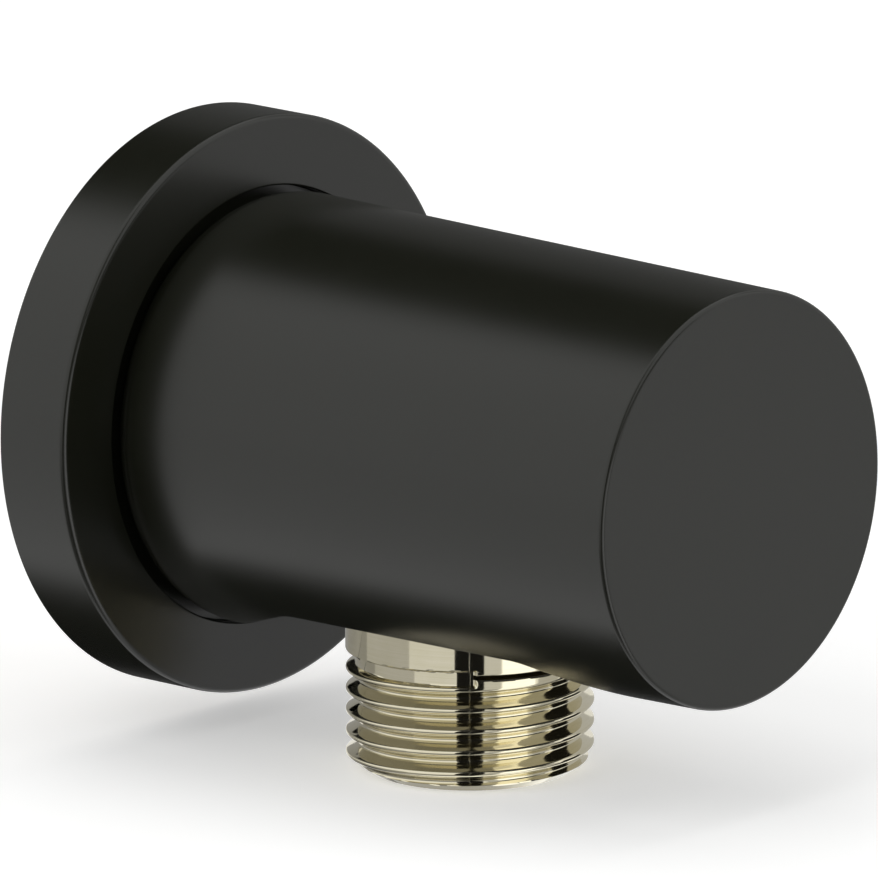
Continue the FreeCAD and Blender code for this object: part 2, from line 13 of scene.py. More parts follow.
import bmesh
import bpy
import numpy as np
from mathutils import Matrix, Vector


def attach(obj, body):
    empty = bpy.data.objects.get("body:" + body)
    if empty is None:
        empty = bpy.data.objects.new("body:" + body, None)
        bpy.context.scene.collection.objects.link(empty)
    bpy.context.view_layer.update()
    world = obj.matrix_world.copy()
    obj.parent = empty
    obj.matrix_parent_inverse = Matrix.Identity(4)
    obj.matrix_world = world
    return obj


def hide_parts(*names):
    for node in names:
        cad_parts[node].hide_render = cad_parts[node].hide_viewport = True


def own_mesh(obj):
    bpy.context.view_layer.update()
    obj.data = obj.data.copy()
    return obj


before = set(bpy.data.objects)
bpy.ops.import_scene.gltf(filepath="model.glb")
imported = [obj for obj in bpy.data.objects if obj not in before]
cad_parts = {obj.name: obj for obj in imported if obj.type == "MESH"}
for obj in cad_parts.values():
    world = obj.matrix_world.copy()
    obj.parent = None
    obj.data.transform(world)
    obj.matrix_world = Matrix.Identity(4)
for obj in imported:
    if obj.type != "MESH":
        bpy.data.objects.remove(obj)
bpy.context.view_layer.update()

MM = 0.001
OUTLET_STATION = 30.77
WHITE = (1.0, 1.0, 1.0, 1.0)
# Corners of a finished mesh sharper than this many degrees stay sharp in the shading.
SHARP = 35.0
# Points closer than this many metres become one, and shorter edges than the second are taken out.
SAME_POINT, NO_EDGE = 1e-7, 1e-8
# Nearly all of a noise's values lie between the first two, and those of two noises added between the others.
NOISE_SPREAD, PAIR_SPREAD = (0.3, 0.7), (0.7, 1.3)
# Rows that a rounded corner has beyond the steps of its arc: the arc's first row and a guard on each side.
CORNER_ROWS = 3
log = logging.getLogger("wall_outlet_elbow")


# Colours and nodes

def linear(hex_colour: str) -> tuple[float, float, float, float]:
    """Turn an sRGB hex colour into linear light.

    Args:
        hex_colour: six hex digits with a leading hash.

    Returns:
        Red, green, blue and a full alpha.
    """
    shares = [int(hex_colour[at:at + 2], 16) / 255 for at in (1, 3, 5)]
    light = [s / 12.92 if s <= 0.04045 else ((s + 0.055) / 1.055) ** 2.4 for s in shares]
    return (light[0], light[1], light[2], 1.0)


def add_node(tree: bpy.types.NodeTree, kind: str, settings: dict | None = None,
             inputs: dict | None = None) -> bpy.types.Node:
    """Add one node with its settings, and fill or link its inputs.

    Args:
        tree: the node tree that gets it.
        kind: Blender's name for the kind of node.
        settings: the node's own properties by name.
        inputs: a value, or the output socket to link, for each input's name or number.

    Returns:
        The new node.
    """
    made = tree.nodes.new(kind)
    for name, value in (settings or {}).items():
        setattr(made, name, value)
    for name, value in (inputs or {}).items():
        if isinstance(value, bpy.types.NodeSocket):
            tree.links.new(value, made.inputs[name])
        else:
            made.inputs[name].default_value = value
    return made


def empty_tree(owner: bpy.types.ID) -> bpy.types.NodeTree:
    """Turn a material or a world over to nodes and clear them away.

    Args:
        owner: the material or world.

    Returns:
        Its empty node tree.
    """
    owner.use_nodes = True
    owner.node_tree.nodes.clear()
    return owner.node_tree


def add_object(name: str, data: bpy.types.ID) -> bpy.types.Object:
    """Make an object of a mesh, lamp or camera and link it to the scene.

    Args:
        name: the object's name.
        data: the mesh, lamp or camera.

    Returns:
        The object, at the origin.
    """
    made = bpy.data.objects.new(name, data)
    bpy.context.scene.collection.objects.link(made)
    return made


def per_metre(width_mm: float) -> float:
    """Noise scale that gives patches of that width on Object coordinates."""
    return 1.0 / (width_mm * MM)


# Finishes

@dataclass(frozen=True)
class Finish:
    """What every finish shares: its name, colour, gloss and two sizes of surface texture.

    Each finish is a Principled shader whose colour and roughness drift with a wide noise, and whose bump is
    a coarse wave plus a fine grain, both with their real widths and heights.
    """
    name: str
    colour: str
    second_colour: str
    roughness: float
    roughness_drift: float = 0.04
    drift_width: float = 6.0
    wave_width: float = 1.0
    wave_height: float = 0.0005
    grain_width: float = 0.15
    grain_height: float = 0.0002
    stretch: tuple[float, float, float] = (1.0, 1.0, 1.0)
    metallic: float = 0.0
    ior: float = 1.5
    subsurface: float = 0.0
    light_depth: float = 1.2

    def material(self) -> bpy.types.Material:
        """Make the finish's material, or find it if it is made already.

        Returns:
            The material.
        """
        if self.name in bpy.data.materials:
            return bpy.data.materials[self.name]
        made = bpy.data.materials.new(self.name)
        tree = empty_tree(made)
        place = add_node(tree, "ShaderNodeTexCoord").outputs["Object"]
        lines = add_node(tree, "ShaderNodeMapping", None, {"Vector": place, "Scale": self.stretch})
        drift = self.noise(tree, place, self.drift_width, 3.0)
        wave = self.noise(tree, lines.outputs["Vector"], self.wave_width, 2.0)
        grain = self.noise(tree, lines.outputs["Vector"], self.grain_width, 4.0)
        colour = add_node(tree, "ShaderNodeMix", {"data_type": "RGBA"}, {
            0: self.mottle(tree, drift, grain), 6: linear(self.colour), 7: linear(self.second_colour)})
        gloss = add_node(tree, "ShaderNodeMapRange", None, {
            "Value": drift, "From Min": NOISE_SPREAD[0], "From Max": NOISE_SPREAD[1],
            "To Min": self.roughness - self.roughness_drift, "To Max": self.roughness + self.roughness_drift})
        raised = add_node(tree, "ShaderNodeBump", None, {
            "Strength": 1.0, "Distance": self.wave_height * MM, "Height": wave})
        grained = add_node(tree, "ShaderNodeBump", None, {
            "Strength": 1.0, "Distance": self.grain_height * MM, "Height": grain,
            "Normal": raised.outputs["Normal"]})
        shader = add_node(tree, "ShaderNodeBsdfPrincipled", None, {
            "Base Color": colour.outputs[2], "Roughness": gloss.outputs["Result"],
            "Metallic": self.metallic, "Normal": grained.outputs["Normal"]})
        self.trim(shader)
        add_node(tree, "ShaderNodeOutputMaterial", None, {"Surface": shader.outputs["BSDF"]})
        return made

    def noise(self, tree: bpy.types.NodeTree, place: bpy.types.NodeSocket, width: float,
              detail: float) -> bpy.types.NodeSocket:
        """Add a noise whose patches have a width in millimetres.

        Args:
            tree: the material's nodes.
            place: the coordinates that it reads.
            width: the width of one patch.
            detail: how many finer layers it has.

        Returns:
            The noise's factor.
        """
        made = add_node(tree, "ShaderNodeTexNoise", None, {
            "Vector": place, "Scale": per_metre(width), "Detail": detail, "Roughness": 0.5})
        return made.outputs["Factor" if "Factor" in made.outputs else "Fac"]

    def mottle(self, tree: bpy.types.NodeTree, drift: bpy.types.NodeSocket,
               grain: bpy.types.NodeSocket) -> bpy.types.NodeSocket:
        """Add the wide drift and the fine grain, and spread their sum from 0 to 1.

        Args:
            tree: the material's nodes.
            drift: the wide noise.
            grain: the fine noise.

        Returns:
            The share of the second colour.
        """
        both = add_node(tree, "ShaderNodeMath", {"operation": "ADD"}, {0: drift, 1: grain})
        share = add_node(tree, "ShaderNodeMapRange", None, {
            "Value": both.outputs[0], "From Min": PAIR_SPREAD[0], "From Max": PAIR_SPREAD[1]})
        return share.outputs["Result"]

    def trim(self, shader: bpy.types.Node) -> None:
        """Set what is the same all over the surface on the shader's own sockets.

        A metal keeps the default IOR. Light that goes into a plastic reaches farthest in red.

        Args:
            shader: the material's Principled shader.
        """
        if not self.metallic:
            shader.inputs["IOR"].default_value = self.ior
        if self.subsurface:
            shader.inputs["Subsurface Weight"].default_value = self.subsurface
            shader.inputs["Subsurface Scale"].default_value = self.light_depth * MM
            shader.inputs["Subsurface Radius"].default_value = (1.0, 0.8, 0.6)


# Black lacquer sprayed and stoved on brass: satin, with a faint orange peel about a millimetre wide.
LACQUER = Finish("satin_black_stoved_lacquer", "#15160f", "#181912", 0.25, 0.01, 9.0, 1.1, 0.0009, 0.16,
                 0.0001)
# Bright nickel on turned brass: a warm mirror crossed by the fine rings of the turning tool.
NICKEL = Finish("bright_nickel_on_turned_brass", "#e2dbc3", "#dad3b7", 0.07, 0.02, 3.0, 0.5, 0.00016, 0.11,
                0.00012, stretch=(0.02, 0.02, 1.0), metallic=1.0)
# Painted shade: the nickel in the outlet's undercut takes this dark, dull colour, which stands in for the
# shade in that narrow groove.
UNDERCUT_PAINTED_SHADE = Finish("dull_nickel_in_the_undercut", "#2c281e", "#38321f", 0.55, 0.05, 2.0, 0.4, 0.001, 0.12,
                0.0006, stretch=(0.05, 0.05, 1.0), metallic=1.0)
# Bare turned brass: yellow, duller than the plating, with rings about the wall's axis.
BRASS = Finish("bare_turned_brass", "#d9b765", "#c9a552", 0.24, 0.05, 4.0, 0.6, 0.0005, 0.14, 0.0003,
               stretch=(0.03, 1.0, 0.03), metallic=1.0)
# Pressed EPDM sheet: matt black with the grain of the mould.
GASKET_RUBBER = Finish("pressed_epdm_rubber", "#1d1d1c", "#242423", 0.72, 0.05, 5.0, 0.7, 0.004, 0.2, 0.003)
# Moulded nitrile: black with a dull shine.
RING_RUBBER = Finish("moulded_nitrile_rubber", "#141414", "#1a1a19", 0.42, 0.04, 3.0, 0.6, 0.001, 0.12,
                     0.0008)
# Cold headed stainless steel: grey and a little rough from tumbling.
SCREW_STEEL = Finish("tumbled_stainless_steel", "#a9a7a2", "#96948f", 0.3, 0.05, 1.5, 0.4, 0.0006, 0.08,
                     0.0004, metallic=1.0)
# Drawn stainless spring wire: bright, with marks along the wire too fine to show.
SPRING_STEEL = Finish("drawn_stainless_wire", "#c2c0bb", "#b2b0ab", 0.2, 0.04, 1.0, 0.3, 0.0003, 0.08, 0.0002,
                      metallic=1.0)
# Moulded acetal in its natural white, the housing and the guide: waxy, with light that goes a little way in.
WHITE_ACETAL = Finish("moulded_natural_acetal", "#e6e4dc", "#deddd4", 0.36, 0.04, 4.0, 0.8, 0.0012, 0.14,
                      0.0006, ior=1.48, subsurface=0.25)
# Moulded acetal dyed blue: the poppet.
BLUE_ACETAL = Finish("moulded_blue_acetal", "#2a6796", "#235a86", 0.34, 0.04, 4.0, 0.8, 0.0012, 0.14, 0.0006,
                     ior=1.48, subsurface=0.1)


# Outlines and grids

class Axis(Enum):
    """The two axes that pieces are turned about, with the way a right-hand thread advances along each."""
    WALL = 1.0
    OUTLET = -1.0

    def points(self, radius: np.ndarray, angle: np.ndarray, along: np.ndarray) -> np.ndarray:
        """Turn polar places about the axis into points.

        Across = radius times the cosine of the angle, aside = radius times its sine. On the wall's axis they
        are x and z, and y is minus the station. On the outlet's axis they are x and y about the outlet, and z
        is minus the drop.

        Args:
            radius: distances from the axis.
            angle: angles about it.
            along: stations or drops.

        Returns:
            Points in millimetres, with x, y and z last.
        """
        across, aside = radius * np.cos(angle), radius * np.sin(angle)
        if self is Axis.WALL:
            return np.stack([across, -along, aside], axis=-1)
        return np.stack([across, aside - OUTLET_STATION, -along], axis=-1)


def rounded(corners: Sequence[tuple[float, float, float]], closed: bool = False,
            steps: int = 6) -> np.ndarray:
    """Round the corners of an outline.

    A corner with a rounding becomes the arc that touches both of its sides: the arc's ends lie at rounding
    over the tangent of half the corner's angle, its centre lies on the bisector, and its points turn evenly
    from end to end. One more point on each side, just past the arc, keeps long faces flat in the shading.

    Args:
        corners: radius, place along the axis and rounding of each corner.
        closed: whether the last corner joins the first; otherwise both ends stay sharp.
        steps: how many straight pieces each arc has.

    Returns:
        Rows of radius and place along the axis.
    """
    least, guard, guard_share = 0.01, 0.06, 0.25
    table = np.array(corners, float)
    points, amount = table[:, :2], np.maximum(table[:, 2], least)
    before = np.roll(points, 1, axis=0) - points
    after = np.roll(points, -1, axis=0) - points
    long_before, long_after = np.linalg.norm(before, axis=1), np.linalg.norm(after, axis=1)
    before, after = before / long_before[:, None], after / long_after[:, None]
    half = np.arccos(np.clip((before * after).sum(axis=1), -1, 1)) / 2
    reach = amount / np.tan(half)
    bisector = before + after
    bisector /= np.linalg.norm(bisector, axis=1)[:, None]
    centre = points + bisector * (amount / np.sin(half))[:, None]
    first = (points + before * reach[:, None] - centre) / amount[:, None]
    last = (points + after * reach[:, None] - centre) / amount[:, None]
    sweep = np.pi - 2 * half
    share = np.linspace(0, 1, steps + 1)
    near = np.sin((1 - share) * sweep[:, None]) / np.sin(sweep)[:, None]
    far = np.sin(share * sweep[:, None]) / np.sin(sweep)[:, None]
    spread = near[..., None] * first[:, None] + far[..., None] * last[:, None]
    arc = centre[:, None] + amount[:, None, None] * spread
    spare_before = np.clip(long_before - reach - np.roll(reach, 1), 0, None)
    spare_after = np.clip(long_after - reach - np.roll(reach, -1), 0, None)
    guard_before = points + before * (reach + np.minimum(guard, guard_share * spare_before))[:, None]
    guard_after = points + after * (reach + np.minimum(guard, guard_share * spare_after))[:, None]
    rows = np.concatenate([guard_before[:, None], arc, guard_after[:, None]], axis=1)
    if closed:
        return rows.reshape(-1, 2)
    return np.concatenate([points[:1], rows[1:-1].reshape(-1, 2), points[-1:]])


def filled(rows: np.ndarray, step: float) -> np.ndarray:
    """Put more rows on an outline, so that none is farther than a step along it from the next.

    Args:
        rows: radius and place along the axis.
        step: the longest distance between two rows.

    Returns:
        The old rows and the new ones in order.
    """
    length = np.concatenate([[0.0], np.cumsum(np.hypot(*np.diff(rows, axis=0).T))])
    at = np.unique(np.concatenate([length, np.arange(0, length[-1], step)]))
    return np.column_stack([np.interp(at, length, rows[:, 0]), np.interp(at, length, rows[:, 1])])


@dataclass
class Turning:
    """A grid of polar places: rows run along an outline and columns run once round an axis.

    The first and last columns lie on each other, so that a thread can cross the seam; the doubles are merged
    when the mesh is made.
    """
    axis: Axis
    columns: int = 192
    start: float = 0.0
    crowded: float = 0.0
    sections: list[tuple[np.ndarray, np.ndarray]] = field(default_factory=list)

    @property
    def angles(self) -> np.ndarray:
        """Angles of the columns, from the start right round to the start again.

        Where columns are crowded, the last ten of them share that part of a turn.

        Returns:
            One angle for each column.
        """
        if not self.crowded:
            return self.start + np.linspace(0, 2 * np.pi, self.columns + 1)
        crowd = 10
        even = np.linspace(0, 1 - self.crowded, self.columns + 1 - crowd)
        last = 1 - self.crowded * np.linspace(1, 0, crowd + 1)[1:]
        return self.start + 2 * np.pi * np.concatenate([even, last])

    def outline(self, rows: np.ndarray) -> "Turning":
        """Add rows that are the same all the way round."""
        spread = np.ones(len(self.angles))
        self.sections.append((rows[:, :1] * spread, rows[:, 1:] * spread))
        return self

    def uneven(self, radius: np.ndarray, along: np.ndarray) -> None:
        """Add rows whose radius and place differ from column to column."""
        self.sections.append((radius, along))

    def hexagon(self, half_flats: float, along: float) -> None:
        """Add one row on a hexagon with a corner straight up, or straight aside on the outlet's axis.

        Its radius is half the width across flats over the cosine of the angle to the nearest flat's middle.

        Args:
            half_flats: half the width across flats.
            along: the row's place along the axis.
        """
        sixth = np.pi / 3
        corner = np.pi / 2 if self.axis is Axis.WALL else 0.0
        off_flat = np.mod(self.angles - corner, sixth) - sixth / 2
        radius = half_flats / np.cos(off_flat)
        self.uneven(radius[None], np.full((1, len(radius)), along))

    def grid(self) -> np.ndarray:
        """Join the sections into one grid of points."""
        radius = np.concatenate([section[0] for section in self.sections])
        along = np.concatenate([section[1] for section in self.sections])
        return self.axis.points(radius, self.angles, along)


def skin(name: str, grid: np.ndarray, closed: bool, sharp: float = SHARP,
         inner_rows: int = 0) -> bpy.types.Object:
    """Make a piece of a grid of points, four neighbours to a face, with its doubles merged and normals out.

    Args:
        name: the piece's name.
        grid: points in millimetres by row and column, the last column lying on the first.
        closed: whether the last row joins the first; otherwise the end rows are poles on the axis.
        sharp: corners of more than this many degrees stay sharp in the shading.
        inner_rows: how many of the first rows take the second material.

    Returns:
        The piece, at the origin, unturned and unscaled.
    """
    rows, columns = grid.shape[:2]
    low = np.arange(rows if closed else rows - 1)
    high = (low + 1) % rows
    side = np.arange(columns - 1)
    near, far = low[:, None] * columns + side, high[:, None] * columns + side
    quads = np.stack([near, near + 1, far + 1, far], axis=-1).reshape(-1, 4)
    mesh = bpy.data.meshes.new(name)
    mesh.vertices.add(rows * columns)
    mesh.vertices.foreach_set("co", (grid * MM).astype(np.float32).ravel())
    mesh.loops.add(quads.size)
    mesh.loops.foreach_set("vertex_index", quads.astype(np.int32).ravel())
    mesh.polygons.add(len(quads))
    mesh.polygons.foreach_set("loop_start", np.arange(0, quads.size, 4, dtype=np.int32))
    if inner_rows:
        inside = np.repeat(low < inner_rows, columns - 1)
        mesh.polygons.foreach_set("material_index", inside.astype(np.int32))
    mesh.update(calc_edges=True)
    finished = bmesh.new()
    finished.from_mesh(mesh)
    bmesh.ops.remove_doubles(finished, verts=finished.verts, dist=SAME_POINT)
    bmesh.ops.dissolve_degenerate(finished, edges=finished.edges, dist=NO_EDGE)
    bmesh.ops.recalc_face_normals(finished, faces=finished.faces)
    finished.to_mesh(mesh)
    finished.free()
    mesh.shade_smooth()
    mesh.set_sharp_from_angle(angle=math.radians(sharp))
    return add_object(name, mesh)


def turned(name: str, axis: Axis, columns: int, rows: np.ndarray, closed: bool = True) -> bpy.types.Object:
    """Turn one outline about an axis into a piece.

    Args:
        name: the piece's name.
        axis: the axis that it is turned about.
        columns: how many faces go round.
        rows: radius and place along the axis.
        closed: whether the last row joins the first.

    Returns:
        The piece.
    """
    return skin(name, Turning(axis, columns).outline(rows).grid(), closed)


def ring_groove(outer: float, floor: float, middle: float, half: float) -> list[tuple[float, float, float]]:
    """List the corners of the groove that an O-ring lies in.

    Args:
        outer: radius of the part beside the groove.
        floor: radius of its floor.
        middle: place of its middle along the axis.
        half: half its width.

    Returns:
        Radius, place and rounding of the four corners.
    """
    return [(outer, middle - half, 0.06), (floor, middle - half, 0.1),
            (floor, middle + half, 0.1), (outer, middle + half, 0.06)]


def carve(piece: bpy.types.Object, cutters: Sequence[bpy.types.Object], sharp: float = SHARP) -> None:
    """Cut closed pieces out of another and take them away.

    Args:
        piece: the piece that is cut.
        cutters: the closed pieces.
        sharp: corners of more than this many degrees stay sharp in the shading.
    """
    for cutter in cutters:
        step = piece.modifiers.new("carve", "BOOLEAN")
        step.operation = "DIFFERENCE"
        step.solver = "MANIFOLD"
        step.object = cutter
    bpy.context.view_layer.update()
    shaped = bpy.data.meshes.new_from_object(piece.evaluated_get(bpy.context.evaluated_depsgraph_get()))
    piece.modifiers.clear()
    rough, piece.data = piece.data, shaped
    shaped.name = rough.name + "_carved"
    bpy.data.meshes.remove(rough)
    for cutter in cutters:
        bpy.data.objects.remove(cutter)
    shaped.shade_smooth()
    shaped.set_sharp_from_angle(angle=math.radians(sharp))


@dataclass(frozen=True)
class PipeThread:
    """Male G 1/2 pipe thread: 55 degree form, 14 turns to the inch, crests and roots rounded alike.

    The shares are of the pitch: the rounding's radius, the height of the sharp form and the thread's depth.
    """
    crest_radius: float = 10.4775
    pitch: float = 1.814
    half_angle: float = math.radians(27.5)
    rounding_share: float = 0.137329
    sharp_share: float = 0.960491
    depth_share: float = 0.640327
    arc_rows: int = 9
    flank_rows: int = 4

    @property
    def rounding(self) -> float:
        """Radius of the round crest and root."""
        return self.rounding_share * self.pitch

    @property
    def touch(self) -> float:
        """How far a round crest or root reaches along the axis: its radius x cosine of the half angle."""
        return self.rounding * math.cos(self.half_angle)

    def groove(self, off: np.ndarray) -> np.ndarray:
        """Depth below the crest at a distance from the groove's middle.

        The flank's depth = (half a pitch - distance) / tangent of the half angle, less a sixth of the sharp
        form's height, and it turns negative past the mouth. Near the middle the depth is that of the root:
        thread's depth - rounding + root(rounding squared - distance squared).

        Args:
            off: distances from the groove's middle.

        Returns:
            The depth at each distance.
        """
        rise = (self.pitch / 2 - np.abs(off)) / math.tan(self.half_angle)
        flank = rise - self.sharp_share * self.pitch / 6
        arc = np.sqrt(np.clip(self.rounding ** 2 - off ** 2, 0, None))
        root = self.depth_share * self.pitch - self.rounding + arc
        return np.where(np.abs(off) < self.touch, root, flank)

    def crested(self, off: np.ndarray) -> np.ndarray:
        """Depth with the crests rounded too.

        Beside a crest it is rounding - root(rounding squared - distance from the crest squared), and 0 past
        it.

        Args:
            off: distances from the groove's middle.

        Returns:
            The depth at each distance.
        """
        to_crest = np.clip(self.pitch / 2 - np.abs(off), 0, None)
        arc = self.rounding - np.sqrt(np.clip(self.rounding ** 2 - to_crest ** 2, 0, None))
        return np.where(to_crest < self.touch, arc, self.groove(off))

    def rows(self) -> np.ndarray:
        """Find the places along one pitch where the form needs a row.

        Returns:
            Places that lie close together on the arcs and wider apart on the flanks.
        """
        arc = self.rounding * np.sin(np.linspace(-1, 1, self.arc_rows) * (np.pi / 2 - self.half_angle))
        flank = np.linspace(arc[-1], self.pitch / 2 + arc[0], self.flank_rows + 2)[1:-1]
        return np.concatenate([arc, flank, self.pitch / 2 + arc, self.pitch - flank[::-1]])


@dataclass(frozen=True)
class ThreadGroove:
    """The thread's one groove: it ends beside the collar and runs off the free end.

    The grid's first column lies at the end's angle, so that the groove winds away from the collar once for
    each time round. Over its first stretch the groove is shallow with a flat floor, and it ends in a step.
    """
    end: float
    away: float
    form: PipeThread = PipeThread()
    first_depth: float = 0.32
    deepening_turns: float = 0.42
    deepening_power: float = 1.5
    step_turns: float = 0.005
    spare_turns: int = 3

    def turns(self, turning: "Turning") -> np.ndarray:
        """Share of a turn that each column lies from the groove's end, going away from the collar."""
        return 1 - (turning.angles - turning.start) / (2 * np.pi)

    def depth(self, turning: "Turning", along: np.ndarray, crested: bool) -> np.ndarray:
        """Depth of the groove below the crest radius.

        With d the distance from the groove's end, the place across the thread = d / pitch - turns. The
        nearest whole number at or above 0 is the groove's round, and the rest x pitch is the distance from
        its middle. In the first round the flat floor limits the depth, and the groove's end is a step.

        Args:
            turning: the grid that it is for.
            along: places along the axis by row and column.
            crested: whether the crests are rounded, or the flanks run on past them.

        Returns:
            The depth by row and column.
        """
        turns = self.turns(turning)
        place = (along - self.end) * self.away / self.form.pitch - turns
        round_number = np.maximum(np.round(place), 0)
        off = (place - round_number) * self.form.pitch
        depth = self.form.crested(off) if crested else self.form.groove(off)
        flat, step = self.floor(turns)
        first = np.clip(np.minimum(depth, flat), 0, None) * step
        return np.where(round_number == 0, first, depth)

    def floor(self, turns: np.ndarray) -> tuple[np.ndarray, np.ndarray]:
        """Find the flat floor of the first round.

        Depth = first depth + (turns / deepening turns) to the deepening power. The step at the groove's end =
        3 s squared - 2 s cubed, with s from 0 to 1 over the step's turns.

        Args:
            turns: share of a turn from the groove's end.

        Returns:
            The floor's depth, and the step from 0 to 1.
        """
        deepening = np.clip(turns / self.deepening_turns, 0, None) ** self.deepening_power
        step = np.clip(turns / self.step_turns, 0, 1)
        return self.first_depth + deepening, step ** 2 * (3 - 2 * step)

    def section(self, turning: "Turning", near: float, far: float,
                limit: "EndCones") -> tuple[np.ndarray, np.ndarray]:
        """Make the thread's rows, each one following the helix and held between the thread's two ends.

        A row's distance from the groove's end = its offset + pitch x turns. Radius = crest radius - depth,
        and no more than the end cones allow.

        Args:
            turning: the grid that the rows are for.
            near: the thread's end by the collar.
            far: its free end.
            limit: the cones that chamfer both ends.

        Returns:
            Radius and place along the axis by row and column, in the order of the axis.
        """
        low, high = (near - self.end) * self.away, (far - self.end) * self.away
        pitch = self.form.pitch
        rounds = np.arange(-self.spare_turns, int((high - low) / pitch) + self.spare_turns)
        offsets = np.sort((rounds[:, None] * pitch + pitch / 2 + self.form.rows()).ravel())
        offsets = offsets[(offsets > low - pitch) & (offsets < high)]
        offsets = np.concatenate([[low - pitch], offsets, [high]])
        distance = np.clip(offsets[:, None] + pitch * self.turns(turning), low, high)
        along = (self.end + self.away * distance)[::int(self.away)]
        radius = self.form.crest_radius - self.depth(turning, along, True)
        return np.minimum(radius, limit.radius(along)), along


@dataclass(frozen=True)
class EndCones:
    """Two cones that take the corners off a thread's ends."""
    low: float
    low_radius: float
    low_slope: float
    high: float
    high_radius: float
    high_slope: float

    def radius(self, along: np.ndarray) -> np.ndarray:
        """Largest radius at a place: the end's radius plus the slope times the distance from that end."""
        return np.minimum(self.low_radius + self.low_slope * (along - self.low),
                          self.high_radius + self.high_slope * (self.high - along))


# Pieces

@dataclass
class SubAssembly:
    """A group of pieces that ride on the fitting's body unless they say otherwise."""
    body: str = "fitting"

    def dress(self, piece: bpy.types.Object, node: str, slot: str, finish: Finish, body: str | None = None,
              inner: Finish | None = None) -> None:
        """Give a piece its finish, let it stand for its CAD node and ride on its body, and report it.

        Args:
            piece: the finished piece.
            node: the CAD node that it stands for.
            slot: the record's material slot; not used.
            finish: its finish.
            body: the CAD body that it rides on, if not the group's own.
            inner: the finish of its faces with the second material, if it has such faces.
        """
        slots = piece.data.materials
        for number, worn in enumerate([finish, inner] if inner else [finish]):
            if number < len(slots):
                slots[number] = worn.material()
            else:
                slots.append(worn.material())
        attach(piece, body or self.body)
        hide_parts(node)
        log.info("%s: %d faces, %s", piece.name, len(piece.data.polygons), finish.name)

    def keep(self, node: str, finish: Finish) -> None:
        """Give a finish to a CAD node that is shown as it is.

        Args:
            node: the CAD node.
            finish: its finish.
        """
        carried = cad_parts[node]
        carried.data.materials.clear()
        carried.data.materials.append(finish.material())
        log.info("%s: kept from the CAD model, %s", node, finish.name)


@dataclass
class WallFlange(SubAssembly):
    """Cover flange: a thin turned cup against the wall with a shallow seat for the body's back."""
    radius: float = 24.85
    skirt_radius: float = 22.85
    depth: float = 7.3
    seat_radius: float = 18.76
    seat_station: float = 5.8
    floor_station: float = 3.8
    hole_radius: float = 9.3

    def build(self) -> None:
        """Turn the flange's closed section about the wall's axis."""
        section = rounded([
            (self.skirt_radius, 0.0, 0.12),
            (self.radius, 0.0, 0.2),
            (self.radius, self.depth, 0.5),
            (self.seat_radius, self.depth, 0.16),
            (self.seat_radius, self.seat_station, 0.1),
            (self.hole_radius, self.seat_station, 0.1),
            (self.hole_radius, self.floor_station, 0.1),
            (self.skirt_radius, self.floor_station, 0.3),
        ], closed=True, steps=8)
        self.dress(turned("flange_skin", Axis.WALL, 320, section), "wall_flange", "black_coating", LACQUER)


